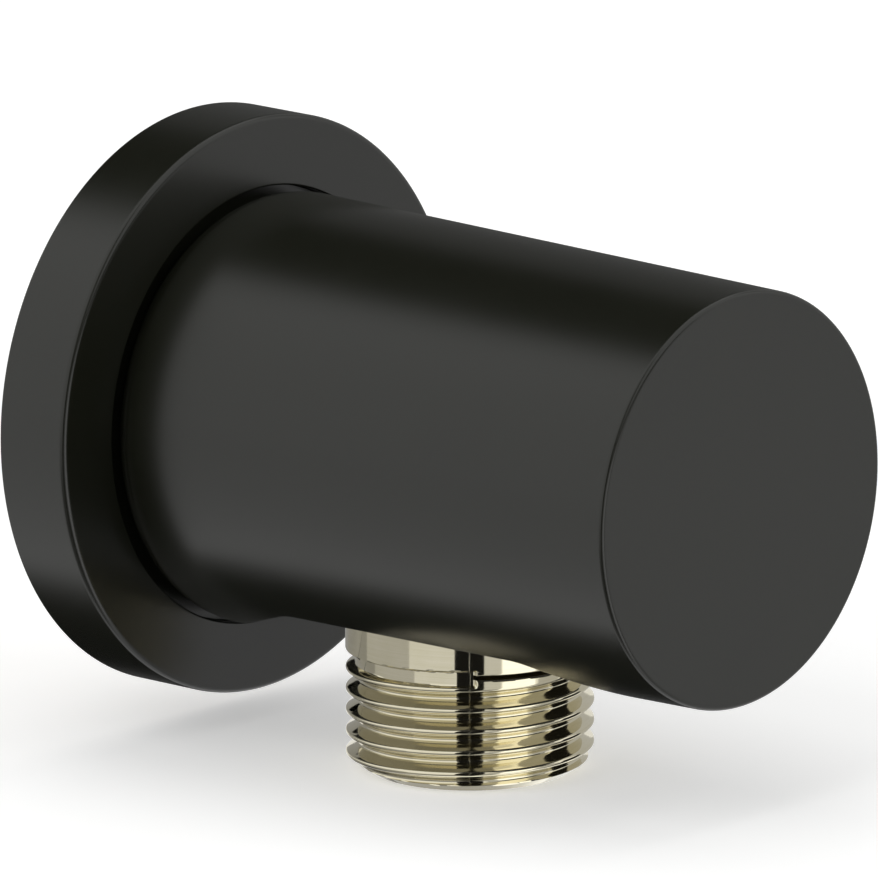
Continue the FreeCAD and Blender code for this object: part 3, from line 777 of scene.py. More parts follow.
@dataclass
class ElbowBody(SubAssembly):
    """Elbow body: a tapered bar with a rounded back, bored from behind and relieved underneath.

    The relief's drop, length and station are those of its flat. The coating starts on the back face, outside
    the ring's groove.
    """
    back_station: float = 5.8
    back_radius: float = 18.5752
    back_round: float = 3.8
    front_radius: float = 17.65
    length: float = 60.8
    front_round: float = 0.4
    relief_drop: float = 14.36
    relief_station: float = 32.8
    relief_length: float = 25.4
    relief_angle: float = math.radians(18.4)
    relief_blend: float = 6.0
    crease: float = 0.22
    spigot_bore: float = 9.05
    spigot_bore_end: float = 19.8
    waterway: float = 6.5
    waterway_end: float = 37.77
    drill_point: float = 3.906
    spotface_radius: float = 10.8
    spotface_drop: float = 14.26
    socket_radius: float = 9.05
    socket_drop: float = 7.2
    way_radius: float = 5.8
    screw_station: float = 9.6
    screw_hole: float = 2.55
    countersink: float = 0.25
    countersink_drop: float = 17.75
    cutter_end: float = 22.0
    ring_inner: float = 11.1
    ring_outer: float = 13.1
    ring_depth: float = 1.34
    coating_start: float = 13.9
    run_out: float = 55.66
    face_radius: float = 17.2
    columns: int = 288
    sharp: float = 32.0

    def relief(self, station: np.ndarray) -> np.ndarray:
        """Drop of the milled relief at a station.

        With u the distance past the start of a blend, the drop grows by blend - root(blend squared - u
        squared) along the blend, then by the tangent of the ramp's angle times the rest.

        Args:
            station: distances from the wall.

        Returns:
            The relief's drop below the axis.
        """
        touch = self.relief_blend * math.tan(self.relief_angle / 2)
        past = np.abs(station - self.relief_station) - self.relief_length / 2 + touch
        bend = self.relief_blend * math.sin(self.relief_angle)
        on_blend = np.clip(past, 0, bend)
        blend = self.relief_blend - np.sqrt(self.relief_blend ** 2 - on_blend ** 2)
        return self.relief_drop + blend + math.tan(self.relief_angle) * np.clip(past - bend, 0, None)

    def side(self) -> np.ndarray:
        """Make the rows of the outer side: the back's rounding, the long taper and the front's rounding.

        The taper has a row every quarter millimetre. Where a ramp runs out there are closer ones, at the
        squares of even steps before that station, and two just past it.

        Returns:
            Rows of radius and station.
        """
        steps, apart = 26, 0.25
        ends = rounded([
            (self.coating_start, self.back_station, 0.0),
            (self.back_radius, self.back_station, self.back_round),
            (self.front_radius, self.length, self.front_round),
            (1.0, self.length, 0.0),
        ], steps=steps)[1:-1]
        back, front = np.split(ends, [steps + CORNER_ROWS])
        even = np.arange(back[-1, 1] + apart, front[0, 1] - 0.1, apart)
        closer = self.run_out - np.linspace(0.05, 1.2, 20) ** 2
        past = self.run_out + np.array([0.02, 0.08])
        stations = np.unique(np.concatenate([even, closer, past]).round(3))
        slope = (self.front_radius - self.back_radius) / (self.length - self.back_station)
        taper = np.column_stack([self.back_radius + slope * (stations - self.back_station), stations])
        return np.concatenate([back, taper, front])

    def relieved(self, rows: np.ndarray) -> tuple[np.ndarray, np.ndarray, np.ndarray]:
        """Cut the relief out of the turned side.

        Radius = the smaller of the turned radius and relief drop / cos(angle from straight down). Where the
        two differ by less than the crease's size c, (c - difference) squared / 4c more is taken off, which
        rounds the edge. The columns follow that edge: a third of them lie evenly across the relief, a few on
        the crease and the rest round the bar, at even share x s + (1 - even share) x s to a power.

        Args:
            rows: radius and station of the turned side.

        Returns:
            Radius, angle and station by row and column.
        """
        least_edge, widest_crease, least_cosine, no_plane = 0.04, 0.05, 0.05, 1e3
        flat_share, clear_share, crease_share, even_share, power = 0.985, 0.55, 0.5, 0.06, 1.25
        bar, station = rows[:, :1], rows[:, 1:]
        drop = self.relief(station)
        edge = np.arccos(np.clip(drop / bar, None, math.cos(least_edge)))
        spread = np.minimum(widest_crease, edge / 2)
        half = self.columns // 2
        across, corner = half // 3, 8
        on_flat = np.arctan(np.linspace(0, 1, across + 1)[:-1] * np.tan(edge * flat_share))
        on_flat = np.minimum(on_flat, edge - spread * clear_share)
        on_crease = edge - spread * np.linspace(1, 0, corner + 1)[:-1] * crease_share
        share = np.linspace(0, 1, half - across - corner + 1)
        on_bar = edge + (np.pi - edge) * (even_share * share + (1 - even_share) * share ** power)
        right = np.concatenate([on_flat, on_crease, on_bar], axis=1)
        angle = np.concatenate([-right[:, :0:-1], right], axis=1)
        cosine = np.cos(angle)
        plane = np.where(cosine > least_cosine, drop / np.clip(cosine, least_cosine, None), no_plane)
        closer = np.clip(self.crease - np.abs(plane - bar), 0, None)
        radius = np.minimum(plane, bar) - closer ** 2 / (4 * self.crease)
        return radius, angle - np.pi / 2, np.broadcast_to(station, radius.shape)

    def bored(self) -> tuple[np.ndarray, int]:
        """Make the rows from the drill's point out along the bores and over the back face's ring groove.

        Returns:
            Rows of radius and station, and how many of them the coating doesn't reach.
        """
        steps, floor = 5, self.back_station + self.ring_depth
        rows = rounded([
            (0.0, self.waterway_end + self.drill_point, 0.0),
            (self.waterway, self.waterway_end, 0.1),
            (self.waterway, self.spigot_bore_end, 0.15),
            (self.spigot_bore, self.spigot_bore_end, 0.1),
            (self.spigot_bore, self.back_station, 0.25),
            (self.ring_inner, self.back_station, 0.05),
            (self.ring_inner, floor, 0.1),
            (self.ring_outer, floor, 0.1),
            (self.ring_outer, self.back_station, 0.05),
            (self.coating_start, self.back_station, 0.0),
        ], steps=steps)
        return rows, len(rows) - steps - CORNER_ROWS

    def faced(self, rim: np.ndarray) -> np.ndarray:
        """Make the front face, whose columns turn from the rim's angles to even ones at the middle.

        Args:
            rim: the angles at the front's rounding.

        Returns:
            Points in millimetres by row and column.
        """
        count = 12
        even = np.linspace(-np.pi, np.pi, len(rim)) - np.pi / 2
        share = np.linspace(1, 0, count)[:, None]
        radius = np.linspace(self.face_radius, 0.0, count)[:, None] * np.ones(len(rim))
        angle = rim * share + even * (1 - share)
        return Axis.WALL.points(radius, angle, np.full(radius.shape, self.length))

    def build(self) -> None:
        """Join the bore, the back face, the relieved side and the front face, then cut the cross holes."""
        bore, bare = self.bored()
        radius, angle, station = self.relieved(self.side())
        spread = np.ones(angle.shape[1])
        grid = np.concatenate([
            Axis.WALL.points(bore[:, :1] * spread, angle[:1], bore[:, 1:] * spread),
            Axis.WALL.points(radius, angle, station),
            self.faced(angle[-1]),
        ])
        body = skin("body_skin", grid, False, self.sharp, bare)
        carve(body, [
            self.cutter("spotface_cutter", self.spotface_radius, self.spotface_drop, OUTLET_STATION),
            self.cutter("socket_cutter", self.socket_radius, self.socket_drop, OUTLET_STATION),
            self.cutter("way_cutter", self.way_radius, 0.0, OUTLET_STATION),
            self.cutter("screw_hole_cutter", self.screw_hole, 0.0, self.screw_station, self.countersink),
        ], self.sharp)
        self.dress(body, "elbow_body", "black_coating", LACQUER, inner=BRASS)

    def cutter(self, name: str, radius: float, top: float, station: float,
               flare: float = 0.0) -> bpy.types.Object:
        """Make an upright round cutter under the axis.

        Args:
            name: the cutter's name.
            radius: its radius.
            top: the drop where it starts.
            station: its distance from the wall.
            flare: how much wider a countersink makes it where it meets the back's rounding.

        Returns:
            The cutter.
        """
        rows = [(0.0, top), (radius, top)]
        if flare:
            rows += [(radius, self.countersink_drop), (radius + 2 * flare, self.countersink_drop + 2 * flare)]
        rows += [(rows[-1][0], self.cutter_end), (0.0, self.cutter_end)]
        grid = Turning(Axis.OUTLET, 96).outline(np.array(rows, float)).grid()
        grid[..., 1] += OUTLET_STATION - station
        return skin(name, grid, False)


@dataclass
class WallConnector(SubAssembly):
    """Wall nipple with its thread, key socket and rings, the gasket on the tiles, and the set screw."""
    groove: ThreadGroove = ThreadGroove(end=-1.3, away=-1.0)
    crest_radius: float = 10.4775
    thread_start: float = -0.15
    thread_end: float = -10.5
    thread_chamfer: float = 0.12
    end_radius: float = 9.2775
    bore: float = 4.7
    collar_radius: float = 12.6
    floor_station: float = 3.8
    spigot_radius: float = 9.0
    spigot_station: float = 19.4
    nose_radius: float = 8.2
    nose_length: float = 0.4
    key_half_flats: float = 5.0
    key_chamfer: float = 0.3
    key_mouth: float = 6.0
    key_floor: float = 11.4
    lock_station: float = 9.6
    lock_radius: float = 7.9
    lock_half: float = 1.05
    lock_mouth: float = 2.15
    ring_radius: float = 7.51
    ring_half: float = 1.05
    ring_stations: tuple[float, float] = (13.7, 17.1)
    gasket_outer: float = 22.55
    gasket_inner: float = 12.9
    gasket_edge: float = 0.25
    screw_top: float = 7.95
    screw_end: float = 14.95
    screw_radius: float = 2.5
    screw_point: float = 1.0
    screw_chamfer: float = 0.4
    screw_rim: float = 1.6
    screw_half_flats: float = 1.25
    screw_key_chamfer: float = 0.1
    screw_key_floor: float = 12.55

    def build(self) -> None:
        """Make the nipple, gasket and screw, and finish the rings that the CAD model holds."""
        self.build_nipple()
        self.build_gasket()
        self.build_screw()
        for ring in ("spigot_o_ring_rear", "spigot_o_ring_front", "flange_o_ring"):
            self.keep(ring, RING_RUBBER)

    def build_nipple(self) -> None:
        """Turn the nipple: bored end, thread, collar, grooved spigot and the hexagon that a key fits."""
        turning = Turning(Axis.WALL, 216, crowded=0.01)
        turning.outline(rounded([
            (self.bore, 2.0, 0.0),
            (self.bore, self.thread_end, 0.25),
            (self.end_radius, self.thread_end, 0.08),
            (self.end_radius + self.thread_chamfer, self.thread_end + self.thread_chamfer, 0.0),
        ], steps=4)[:-1])
        cones = EndCones(self.thread_end, self.end_radius, 1.0, self.thread_start, self.crest_radius, 0.0)
        turning.uneven(*self.groove.section(turning, self.thread_start, self.thread_end + 0.05, cones))
        corners = [
            (self.crest_radius, self.thread_start, 0.0),
            (self.crest_radius, 0.0, 0.1),
            (self.collar_radius, 0.0, 0.12),
            (self.collar_radius, self.floor_station, 0.12),
            (self.spigot_radius, self.floor_station, 0.1),
            (self.spigot_radius, self.lock_station - self.lock_mouth, 0.06),
            (self.lock_radius, self.lock_station - self.lock_half, 0.1),
            (self.lock_radius, self.lock_station + self.lock_half, 0.1),
            (self.spigot_radius, self.lock_station + self.lock_mouth, 0.06),
        ]
        for station in self.ring_stations:
            corners += ring_groove(self.spigot_radius, self.ring_radius, station, self.ring_half)
        corners += [
            (self.spigot_radius, self.spigot_station - self.nose_length, 0.1),
            (self.nose_radius, self.spigot_station, 0.1),
            (self.key_mouth, self.spigot_station, 0.0),
        ]
        turning.outline(rounded(corners, steps=4))
        turning.hexagon(self.key_half_flats + self.key_chamfer, self.spigot_station)
        turning.hexagon(self.key_half_flats, self.spigot_station - self.key_chamfer)
        turning.hexagon(self.key_half_flats, self.key_floor)
        turning.outline(np.array([(self.bore, self.key_floor)]))
        nipple = skin("wall_nipple_skin", turning.grid(), True)
        self.dress(nipple, "wall_nipple", "brass", BRASS)

    def build_gasket(self) -> None:
        """Turn the flat gasket, with edges softened as a pressed ring's are."""
        section = rounded([
            (self.gasket_inner, 0.0, self.gasket_edge),
            (self.gasket_outer, 0.0, self.gasket_edge),
            (self.gasket_outer, self.floor_station, self.gasket_edge),
            (self.gasket_inner, self.floor_station, self.gasket_edge),
        ], closed=True, steps=5)
        ring = turned("gasket_skin", Axis.WALL, 160, section)
        self.dress(ring, "wall_gasket", "gasket_rubber", GASKET_RUBBER)

    def build_screw(self) -> None:
        """Turn the grub screw about its own upright axis, with the hexagon socket facing down."""
        turning = Turning(Axis.OUTLET, 96).outline(rounded([
            (0.0, self.screw_top, 0.0),
            (self.screw_point, self.screw_top, 0.08),
            (self.screw_radius, self.screw_top + self.screw_radius - self.screw_point, 0.12),
            (self.screw_radius, self.screw_end - self.screw_chamfer, 0.1),
            (self.screw_radius - self.screw_chamfer, self.screw_end, 0.08),
            (self.screw_rim, self.screw_end, 0.0),
        ], steps=4))
        turning.hexagon(self.screw_half_flats + self.screw_key_chamfer, self.screw_end)
        turning.hexagon(self.screw_half_flats, self.screw_end - self.screw_key_chamfer)
        turning.hexagon(self.screw_half_flats, self.screw_key_floor)
        turning.outline(np.array([(0.0, self.screw_key_floor)]))
        grid = turning.grid()
        grid[..., 1] += OUTLET_STATION - self.lock_station
        self.dress(skin("set_screw_skin", grid, False), "set_screw", "screw_steel", SCREW_STEEL)


@dataclass
class HoseOutlet(SubAssembly):
    """Outlet nipple: a shank in the body, a collar on the relief and the hose thread."""
    groove: ThreadGroove = ThreadGroove(end=17.6, away=1.0)
    groove_angle: float = math.radians(225.0)
    waterway: float = 5.8
    way_rows: tuple[float, float] = (10.0, 10.7)
    shank_top: float = 7.4
    shank_radius: float = 9.0
    shank_chamfer: float = 0.5
    seat: float = 14.26
    collar_radius: float = 10.5
    plain_end: float = 15.26
    cut_start: float = 15.46
    collar_end: float = 17.3
    undercut_radius: float = 9.4155
    thread_start: float = 17.7
    thread_end: float = 27.66
    crest_radius: float = 10.4775
    start_radius: float = 10.3775
    end_radius: float = 8.5
    end_slope: float = 1.58
    end_rounding: float = 0.06
    bore: float = 7.6
    ledge: float = 11.4
    ring_radius: float = 7.51
    ring_drop: float = 9.5
    ring_half: float = 1.05

    def build(self) -> None:
        """Turn the nipple about the outlet's axis and finish its ring."""
        turning = Turning(Axis.OUTLET, 300, self.groove_angle, 0.01)
        turning.outline(rounded([
            (self.waterway, self.way_rows[0], 0.0),
            (self.waterway, self.shank_top, 0.1),
            (self.shank_radius - self.shank_chamfer, self.shank_top, 0.08),
            (self.shank_radius, self.shank_top + self.shank_chamfer, 0.08),
            *ring_groove(self.shank_radius, self.ring_radius, self.ring_drop, self.ring_half),
            (self.shank_radius, self.seat, 0.1),
            (self.collar_radius, self.seat, 0.1),
            (self.collar_radius, self.plain_end, 0.0),
        ], steps=5))
        self.cut_collar(turning)
        cones = EndCones(self.thread_start, self.start_radius, 1.0,
                         self.thread_end, self.end_radius, self.end_slope)
        last, last_radius = self.thread_end - self.end_rounding, self.end_radius + 0.1
        turning.uneven(*self.groove.section(turning, self.thread_start, last, cones))
        turning.outline(rounded([
            (last_radius, last, 0.0),
            (self.end_radius, self.thread_end, self.end_rounding),
            (self.bore, self.thread_end, 0.15),
            (self.bore, self.ledge, 0.1),
            (self.waterway, self.ledge, 0.1),
            (self.waterway, self.way_rows[1], 0.0),
        ], steps=5))
        nipple = skin("outlet_nipple_skin", turning.grid(), True)
        # The undercut's faces take a dark nickel that is painted shade for the narrow groove.
        self.mark_painted_undercut_shade(nipple)
        self.dress(nipple, "outlet_nipple", "nickel_plate", NICKEL, inner=UNDERCUT_PAINTED_SHADE)
        self.keep("outlet_o_ring", RING_RUBBER)

    def mark_painted_undercut_shade(self, nipple: bpy.types.Object) -> None:
        """Give the second material, a dark nickel that is painted shade, to the undercut's faces: near its
        radius, from collar to thread.

        Args:
            nipple: the outlet nipple.
        """
        near, slack = 0.4, 0.02
        faces = nipple.data.polygons
        centre = np.empty(3 * len(faces))
        faces.foreach_get("center", centre)
        x, y, z = centre.reshape(-1, 3).T / MM
        low = np.hypot(x, y + OUTLET_STATION) < self.undercut_radius + near
        between = (-z > self.collar_end - slack) & (-z < self.thread_start + slack)
        faces.foreach_set("material_index", (low & between).astype(np.int32))

    def cut_collar(self, turning: Turning) -> None:
        """Add the collar's lower part and the undercut below it, with the groove's mouth cut into them.

        Radius = the smaller of the turned radius and the crest radius - the groove's depth. Beside the
        groove's first stretch the undercut is no deeper than the groove's flat floor.

        Args:
            turning: the nipple's grid so far.
        """
        row_step = 0.06
        rows = filled(rounded([
            (self.collar_radius, self.cut_start, 0.0),
            (self.collar_radius, self.collar_end, 0.1),
            (self.undercut_radius, self.collar_end, 0.08),
            (self.undercut_radius, self.thread_start, 0.0),
        ], steps=5), row_step)
        along = rows[:, 1:] * np.ones(len(turning.angles))
        depth = self.groove.depth(turning, along, False)
        cut = np.where(depth > 0, self.crest_radius - depth, self.collar_radius)
        flat, step = self.groove.floor(self.groove.turns(turning))
        raised = np.clip(self.crest_radius - flat - self.undercut_radius, 0, None) * step
        turning.uneven(np.minimum(np.maximum(rows[:, :1], self.undercut_radius + raised), cut), along)


@dataclass
class CheckValve(SubAssembly):
    """Check valve cartridge in the outlet's bore: housing, guide, poppet, seal and closing spring."""
    top: float = 11.4
    seat: float = 14.4
    ring_radius: float = 6.36
    ring_drop: float = 13.3
    ring_half: float = 0.85
    housing_radius: float = 7.5
    housing_end: float = 23.4
    chamber: float = 6.2
    seat_hole: float = 4.0
    guide_top: float = 19.2
    web_top: float = 21.4
    guide_end: float = 22.8
    guide_radius: float = 6.17
    tube_radius: float = 2.3
    stem_hole: float = 1.35
    window_outer: float = 5.27
    window_half: float = math.radians(46.0)
    window_drops: tuple[float, float] = (20.9, 23.2)
    window_power: float = 0.35
    head_radius: float = 3.4
    head_top: float = 13.9
    neck_radius: float = 2.4
    disc_radius: float = 5.2
    disc_end: float = 16.6
    stem_radius: float = 1.25
    stem_end: float = 21.0
    seal_inner: float = 2.45
    seal_outer: float = 5.0
    seal_top: float = 14.5
    seal_end: float = 15.4
    coil_radius: float = 3.1
    wire: float = 0.25
    coil_top: float = 16.87
    coil_end: float = 21.13
    turns: float = 3.5
    easing: float = 0.075
    travel: float = 2.5

    def build(self) -> None:
        """Make all five pieces and finish the cartridge's ring."""
        self.build_housing()
        self.build_guide()
        self.build_poppet()
        self.build_spring()
        self.keep("valve_o_ring", RING_RUBBER)

    def build_housing(self) -> None:
        """Turn the housing's closed section."""
        section = rounded([
            (self.seat_hole, self.top, 0.2),
            (self.housing_radius, self.top, 0.2),
            *ring_groove(self.housing_radius, self.ring_radius, self.ring_drop, self.ring_half),
            (self.housing_radius, self.housing_end, 0.25),
            (self.chamber, self.housing_end, 0.15),
            (self.chamber, self.seat, 0.15),
            (self.seat_hole, self.seat, 0.12),
        ], closed=True, steps=5)
        tube = turned("valve_housing_skin", Axis.OUTLET, 144, section)
        self.dress(tube, "valve_housing", "housing_plastic", WHITE_ACETAL)

    def build_guide(self) -> None:
        """Turn the guide and cut three windows with rounded corners between its arms."""
        section = rounded([
            (self.stem_hole, self.guide_top, 0.12),
            (self.tube_radius, self.guide_top, 0.2),
            (self.tube_radius, self.web_top, 0.3),
            (self.guide_radius, self.web_top, 0.15),
            (self.guide_radius, self.guide_end, 0.15),
            (self.stem_hole, self.guide_end, 0.15),
        ], closed=True, steps=5)
        guide = turned("valve_guide_skin", Axis.OUTLET, 144, section)
        carve(guide, [self.window(number) for number in range(3)], sharp=40.0)
        self.dress(guide, "valve_guide", "guide_plastic", WHITE_ACETAL)

    def window(self, number: int) -> bpy.types.Object:
        """Make one window's cutter.

        Its outline runs about the window's middle: with t once round, radius = middle + half depth x cos t to
        the window power, and angle = half width x sin t to that power, both with their signs kept, which
        rounds the four corners. Every row carries that outline at its drop, and the two end rows shrink to a
        point.

        Args:
            number: which of the three windows.

        Returns:
            The cutter.
        """
        turn = np.linspace(0, 2 * np.pi, 97)
        deep = np.sign(np.cos(turn)) * np.abs(np.cos(turn)) ** self.window_power
        wide = np.sign(np.sin(turn)) * np.abs(np.sin(turn)) ** self.window_power
        size = np.array([0.0, 1.0, 1.0, 0.0])[:, None]
        drop = np.repeat(self.window_drops, 2)[:, None] * np.ones(turn.shape)
        middle, half = (self.window_outer + self.tube_radius) / 2, (self.window_outer - self.tube_radius) / 2
        radius = middle + half * deep * size
        angle = self.window_half * wide * size + number * 2 * np.pi / 3
        return skin("window_cutter_%d" % number, Axis.OUTLET.points(radius, angle, drop), False)

    def build_poppet(self) -> None:
        """Turn the poppet with its domed head, and the flat seal round its neck."""
        outline = rounded([
            (0.0, self.head_top, 0.0),
            (self.head_radius, self.head_top, 0.3),
            (self.head_radius, self.seal_top, 0.08),
            (self.neck_radius, self.seal_top, 0.08),
            (self.neck_radius, self.seal_end, 0.08),
            (self.disc_radius, self.seal_end, 0.15),
            (self.disc_radius, self.disc_end, 0.3),
            (self.stem_radius, self.disc_end, 0.25),
            (self.stem_radius, self.stem_end, 0.3),
            (0.0, self.stem_end, 0.0),
        ], steps=5)
        poppet = turned("valve_poppet_skin", Axis.OUTLET, 120, outline, closed=False)
        self.dress(poppet, "valve_poppet", "poppet_plastic", BLUE_ACETAL, body="poppet")
        section = rounded([
            (self.seal_inner, self.seal_top, 0.1),
            (self.seal_outer, self.seal_top, 0.15),
            (self.seal_outer, self.seal_end, 0.15),
            (self.seal_inner, self.seal_end, 0.1),
        ], closed=True, steps=5)
        seal = turned("valve_seal_skin", Axis.OUTLET, 120, section)
        self.dress(seal, "valve_seal", "ring_rubber", RING_RUBBER, body="poppet")

    def build_spring(self) -> None:
        """Carry a round wire along a coil whose two end turns lie nearly flat.

        With s from 0 to 1 along the wire, angle = turns x full circle x s, and drop = top + height x (s -
        easing x sin(full circle x s)), which starts and ends slowly. The wire's circle is square to the path.
        """
        share = np.linspace(0, 1, 260)
        eased = share - self.easing * np.sin(2 * np.pi * share)
        angle = 2 * np.pi * self.turns * share
        path = Axis.OUTLET.points(np.full(share.shape, self.coil_radius), angle,
                                  self.coil_top + (self.coil_end - self.coil_top) * eased)
        ahead = np.gradient(path, axis=0)
        ahead /= np.linalg.norm(ahead, axis=1)[:, None]
        outward = np.stack([np.cos(angle), np.sin(angle), np.zeros(angle.shape)], axis=-1)
        upward = np.cross(ahead, outward)
        around = np.linspace(0, 2 * np.pi, 17)
        ring = outward[:, None] * np.cos(around)[:, None] + upward[:, None] * np.sin(around)[:, None]
        ends = np.array([0.0, *np.ones(len(share) - 2), 0.0])[:, None, None]
        wire = path[:, None] + self.wire * ring * ends
        spring = skin("valve_spring_skin", wire, False, 60.0)
        self.dress(spring, "valve_spring", "spring_steel", SPRING_STEEL)
        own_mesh(spring)


# Studio

def direction(azimuth: float, elevation: float) -> np.ndarray:
    """Unit vector that points that many degrees round from +x and up from level."""
    turn, rise = math.radians(azimuth), math.radians(elevation)
    return np.array([math.cos(turn) * math.cos(rise), math.sin(turn) * math.cos(rise), math.sin(rise)])


def stand(piece: bpy.types.Object, place: Vector, back: Vector) -> None:
    """Put a lamp or a camera in its place and turn it, level, away from a direction.

    Args:
        piece: the lamp or camera.
        place: where it stands, in metres.
        back: the direction behind it.
    """
    piece.location = place
    piece.rotation_mode = "QUATERNION"
    piece.rotation_quaternion = back.to_track_quat("Z", "Y")


@dataclass(frozen=True)
class Card:
    """A flat card that only reflections see, from black to brighter than white.

    A card that is lit for one group of pieces is clear to all others, and adds its light to what lies
    behind it.
    """
    name: str
    level: float
    fade: float = field(default=0.04, kw_only=True)
    lit_for: str = field(default="", kw_only=True)

    def corners(self) -> tuple[np.ndarray, np.ndarray]:
        """Find the corners in metres, and their places on the card from 0 to 1 across and up."""
        raise NotImplementedError

    def build(self) -> None:
        """Hang the card and hide it from everything but reflections."""
        corners, sheet = self.corners()
        mesh = bpy.data.meshes.new(self.name)
        mesh.from_pydata(corners.tolist(), [], [tuple(range(len(corners)))])
        mesh.uv_layers.new(name="sheet").data.foreach_set("uv", sheet.ravel())
        mesh.materials.append(self.cloth())
        card = add_object(self.name, mesh)
        card.visible_camera = card.visible_diffuse = card.visible_transmission = False
        card.visible_volume_scatter = card.visible_shadow = False
        if self.lit_for:
            card.light_linking.receiver_collection = bpy.data.collections[self.lit_for]

    def cloth(self) -> bpy.types.Material:
        """Make the card's even glow, which fades to clear at the two side edges.

        Returns:
            The card's material.
        """
        made = bpy.data.materials.new(self.name + "_cloth")
        tree = empty_tree(made)
        sheet = add_node(tree, "ShaderNodeUVMap", {"uv_map": "sheet"})
        place = add_node(tree, "ShaderNodeSeparateXYZ", None, {0: sheet.outputs["UV"]})
        off = add_node(tree, "ShaderNodeMath", {"operation": "SUBTRACT"}, {0: place.outputs["X"], 1: 0.5})
        off = add_node(tree, "ShaderNodeMath", {"operation": "ABSOLUTE"}, {0: off.outputs[0]})
        whole = add_node(tree, "ShaderNodeMapRange", {"interpolation_type": "SMOOTHSTEP"}, {
            "Value": off.outputs[0], "From Min": 0.5 - self.fade, "From Max": 0.5,
            "To Min": 1.0, "To Max": 0.0})
        front = add_node(tree, "ShaderNodeEmission", None, {"Color": WHITE, "Strength": self.level})
        clear = add_node(tree, "ShaderNodeBsdfTransparent")
        if self.lit_for:
            front = add_node(tree, "ShaderNodeAddShader", None, {0: front.outputs[0], 1: clear.outputs[0]})
        both = add_node(tree, "ShaderNodeMixShader", None, {
            0: whole.outputs["Result"], 1: clear.outputs[0], 2: front.outputs[0]})
        add_node(tree, "ShaderNodeOutputMaterial", None, {"Surface": both.outputs[0]})
        return made


@dataclass(frozen=True)
class FarCard(Card):
    """A rectangle far off, square to the direction that it hangs in, with its half sizes as angles."""
    azimuth: float
    elevation: float
    half_width: float
    half_height: float
    tilt: float = 0.0
    distance: float = 1.6

    def corners(self) -> tuple[np.ndarray, np.ndarray]:
        """Find the four corners.

        With e the direction, h level and square to it and u = e x h, across = cos(tilt) h + sin(tilt) u and
        up = cos(tilt) u - sin(tilt) h. A corner = distance x (e +- tan(half width) across +- tan(half height)
        up).

        Returns:
            The corners in metres, and their places on the card.
        """
        turn, tilt = math.radians(self.azimuth), math.radians(self.tilt)
        toward = direction(self.azimuth, self.elevation)
        level = np.array([-math.sin(turn), math.cos(turn), 0.0])
        upward = np.cross(toward, level)
        across = math.tan(math.radians(self.half_width)) * (math.cos(tilt) * level + math.sin(tilt) * upward)
        up = math.tan(math.radians(self.half_height)) * (math.cos(tilt) * upward - math.sin(tilt) * level)
        sides = np.array([(-1, -1), (1, -1), (1, 1), (-1, 1)])
        return self.distance * (toward + sides[:, :1] * across + sides[:, 1:] * up), (sides + 1) / 2


@dataclass(frozen=True)
class FlangeCard(Card):
    """A half disc as wide as the flange, just before the lower half of its face."""
    radius: float = 24.6
    station: float = 7.4
    count: int = 49

    def corners(self) -> tuple[np.ndarray, np.ndarray]:
        """Find the corners round the half disc: x and z = radius x cosine and sine of the angle.

        Returns:
            The corners in metres, and the card's middle as the place of each, so that no side fades.
        """
        turn, whole = np.linspace(np.pi, 2 * np.pi, self.count), np.ones(self.count)
        corners = Axis.WALL.points(self.radius * whole, turn, self.station * whole) * MM
        return corners, np.full((self.count, 2), 0.5)


@dataclass(frozen=True)
class Panel:
    """A soft lamp: a lit rectangle that faces the part and shows in no reflection."""
    name: str
    azimuth: float
    elevation: float
    distance: float
    width: float
    height: float
    radiance: float

    def build(self) -> None:
        """Hang the lamp. Its power = radiance x pi x area."""
        light = bpy.data.lights.new(self.name, "AREA")
        light.shape = "RECTANGLE"
        light.size, light.size_y = self.width, self.height
        light.energy = self.radiance * math.pi * self.width * self.height
        lamp = add_object(self.name, light)
        away = Vector(direction(self.azimuth, self.elevation))
        stand(lamp, away * self.distance, away)
        lamp.visible_camera = lamp.visible_glossy = False


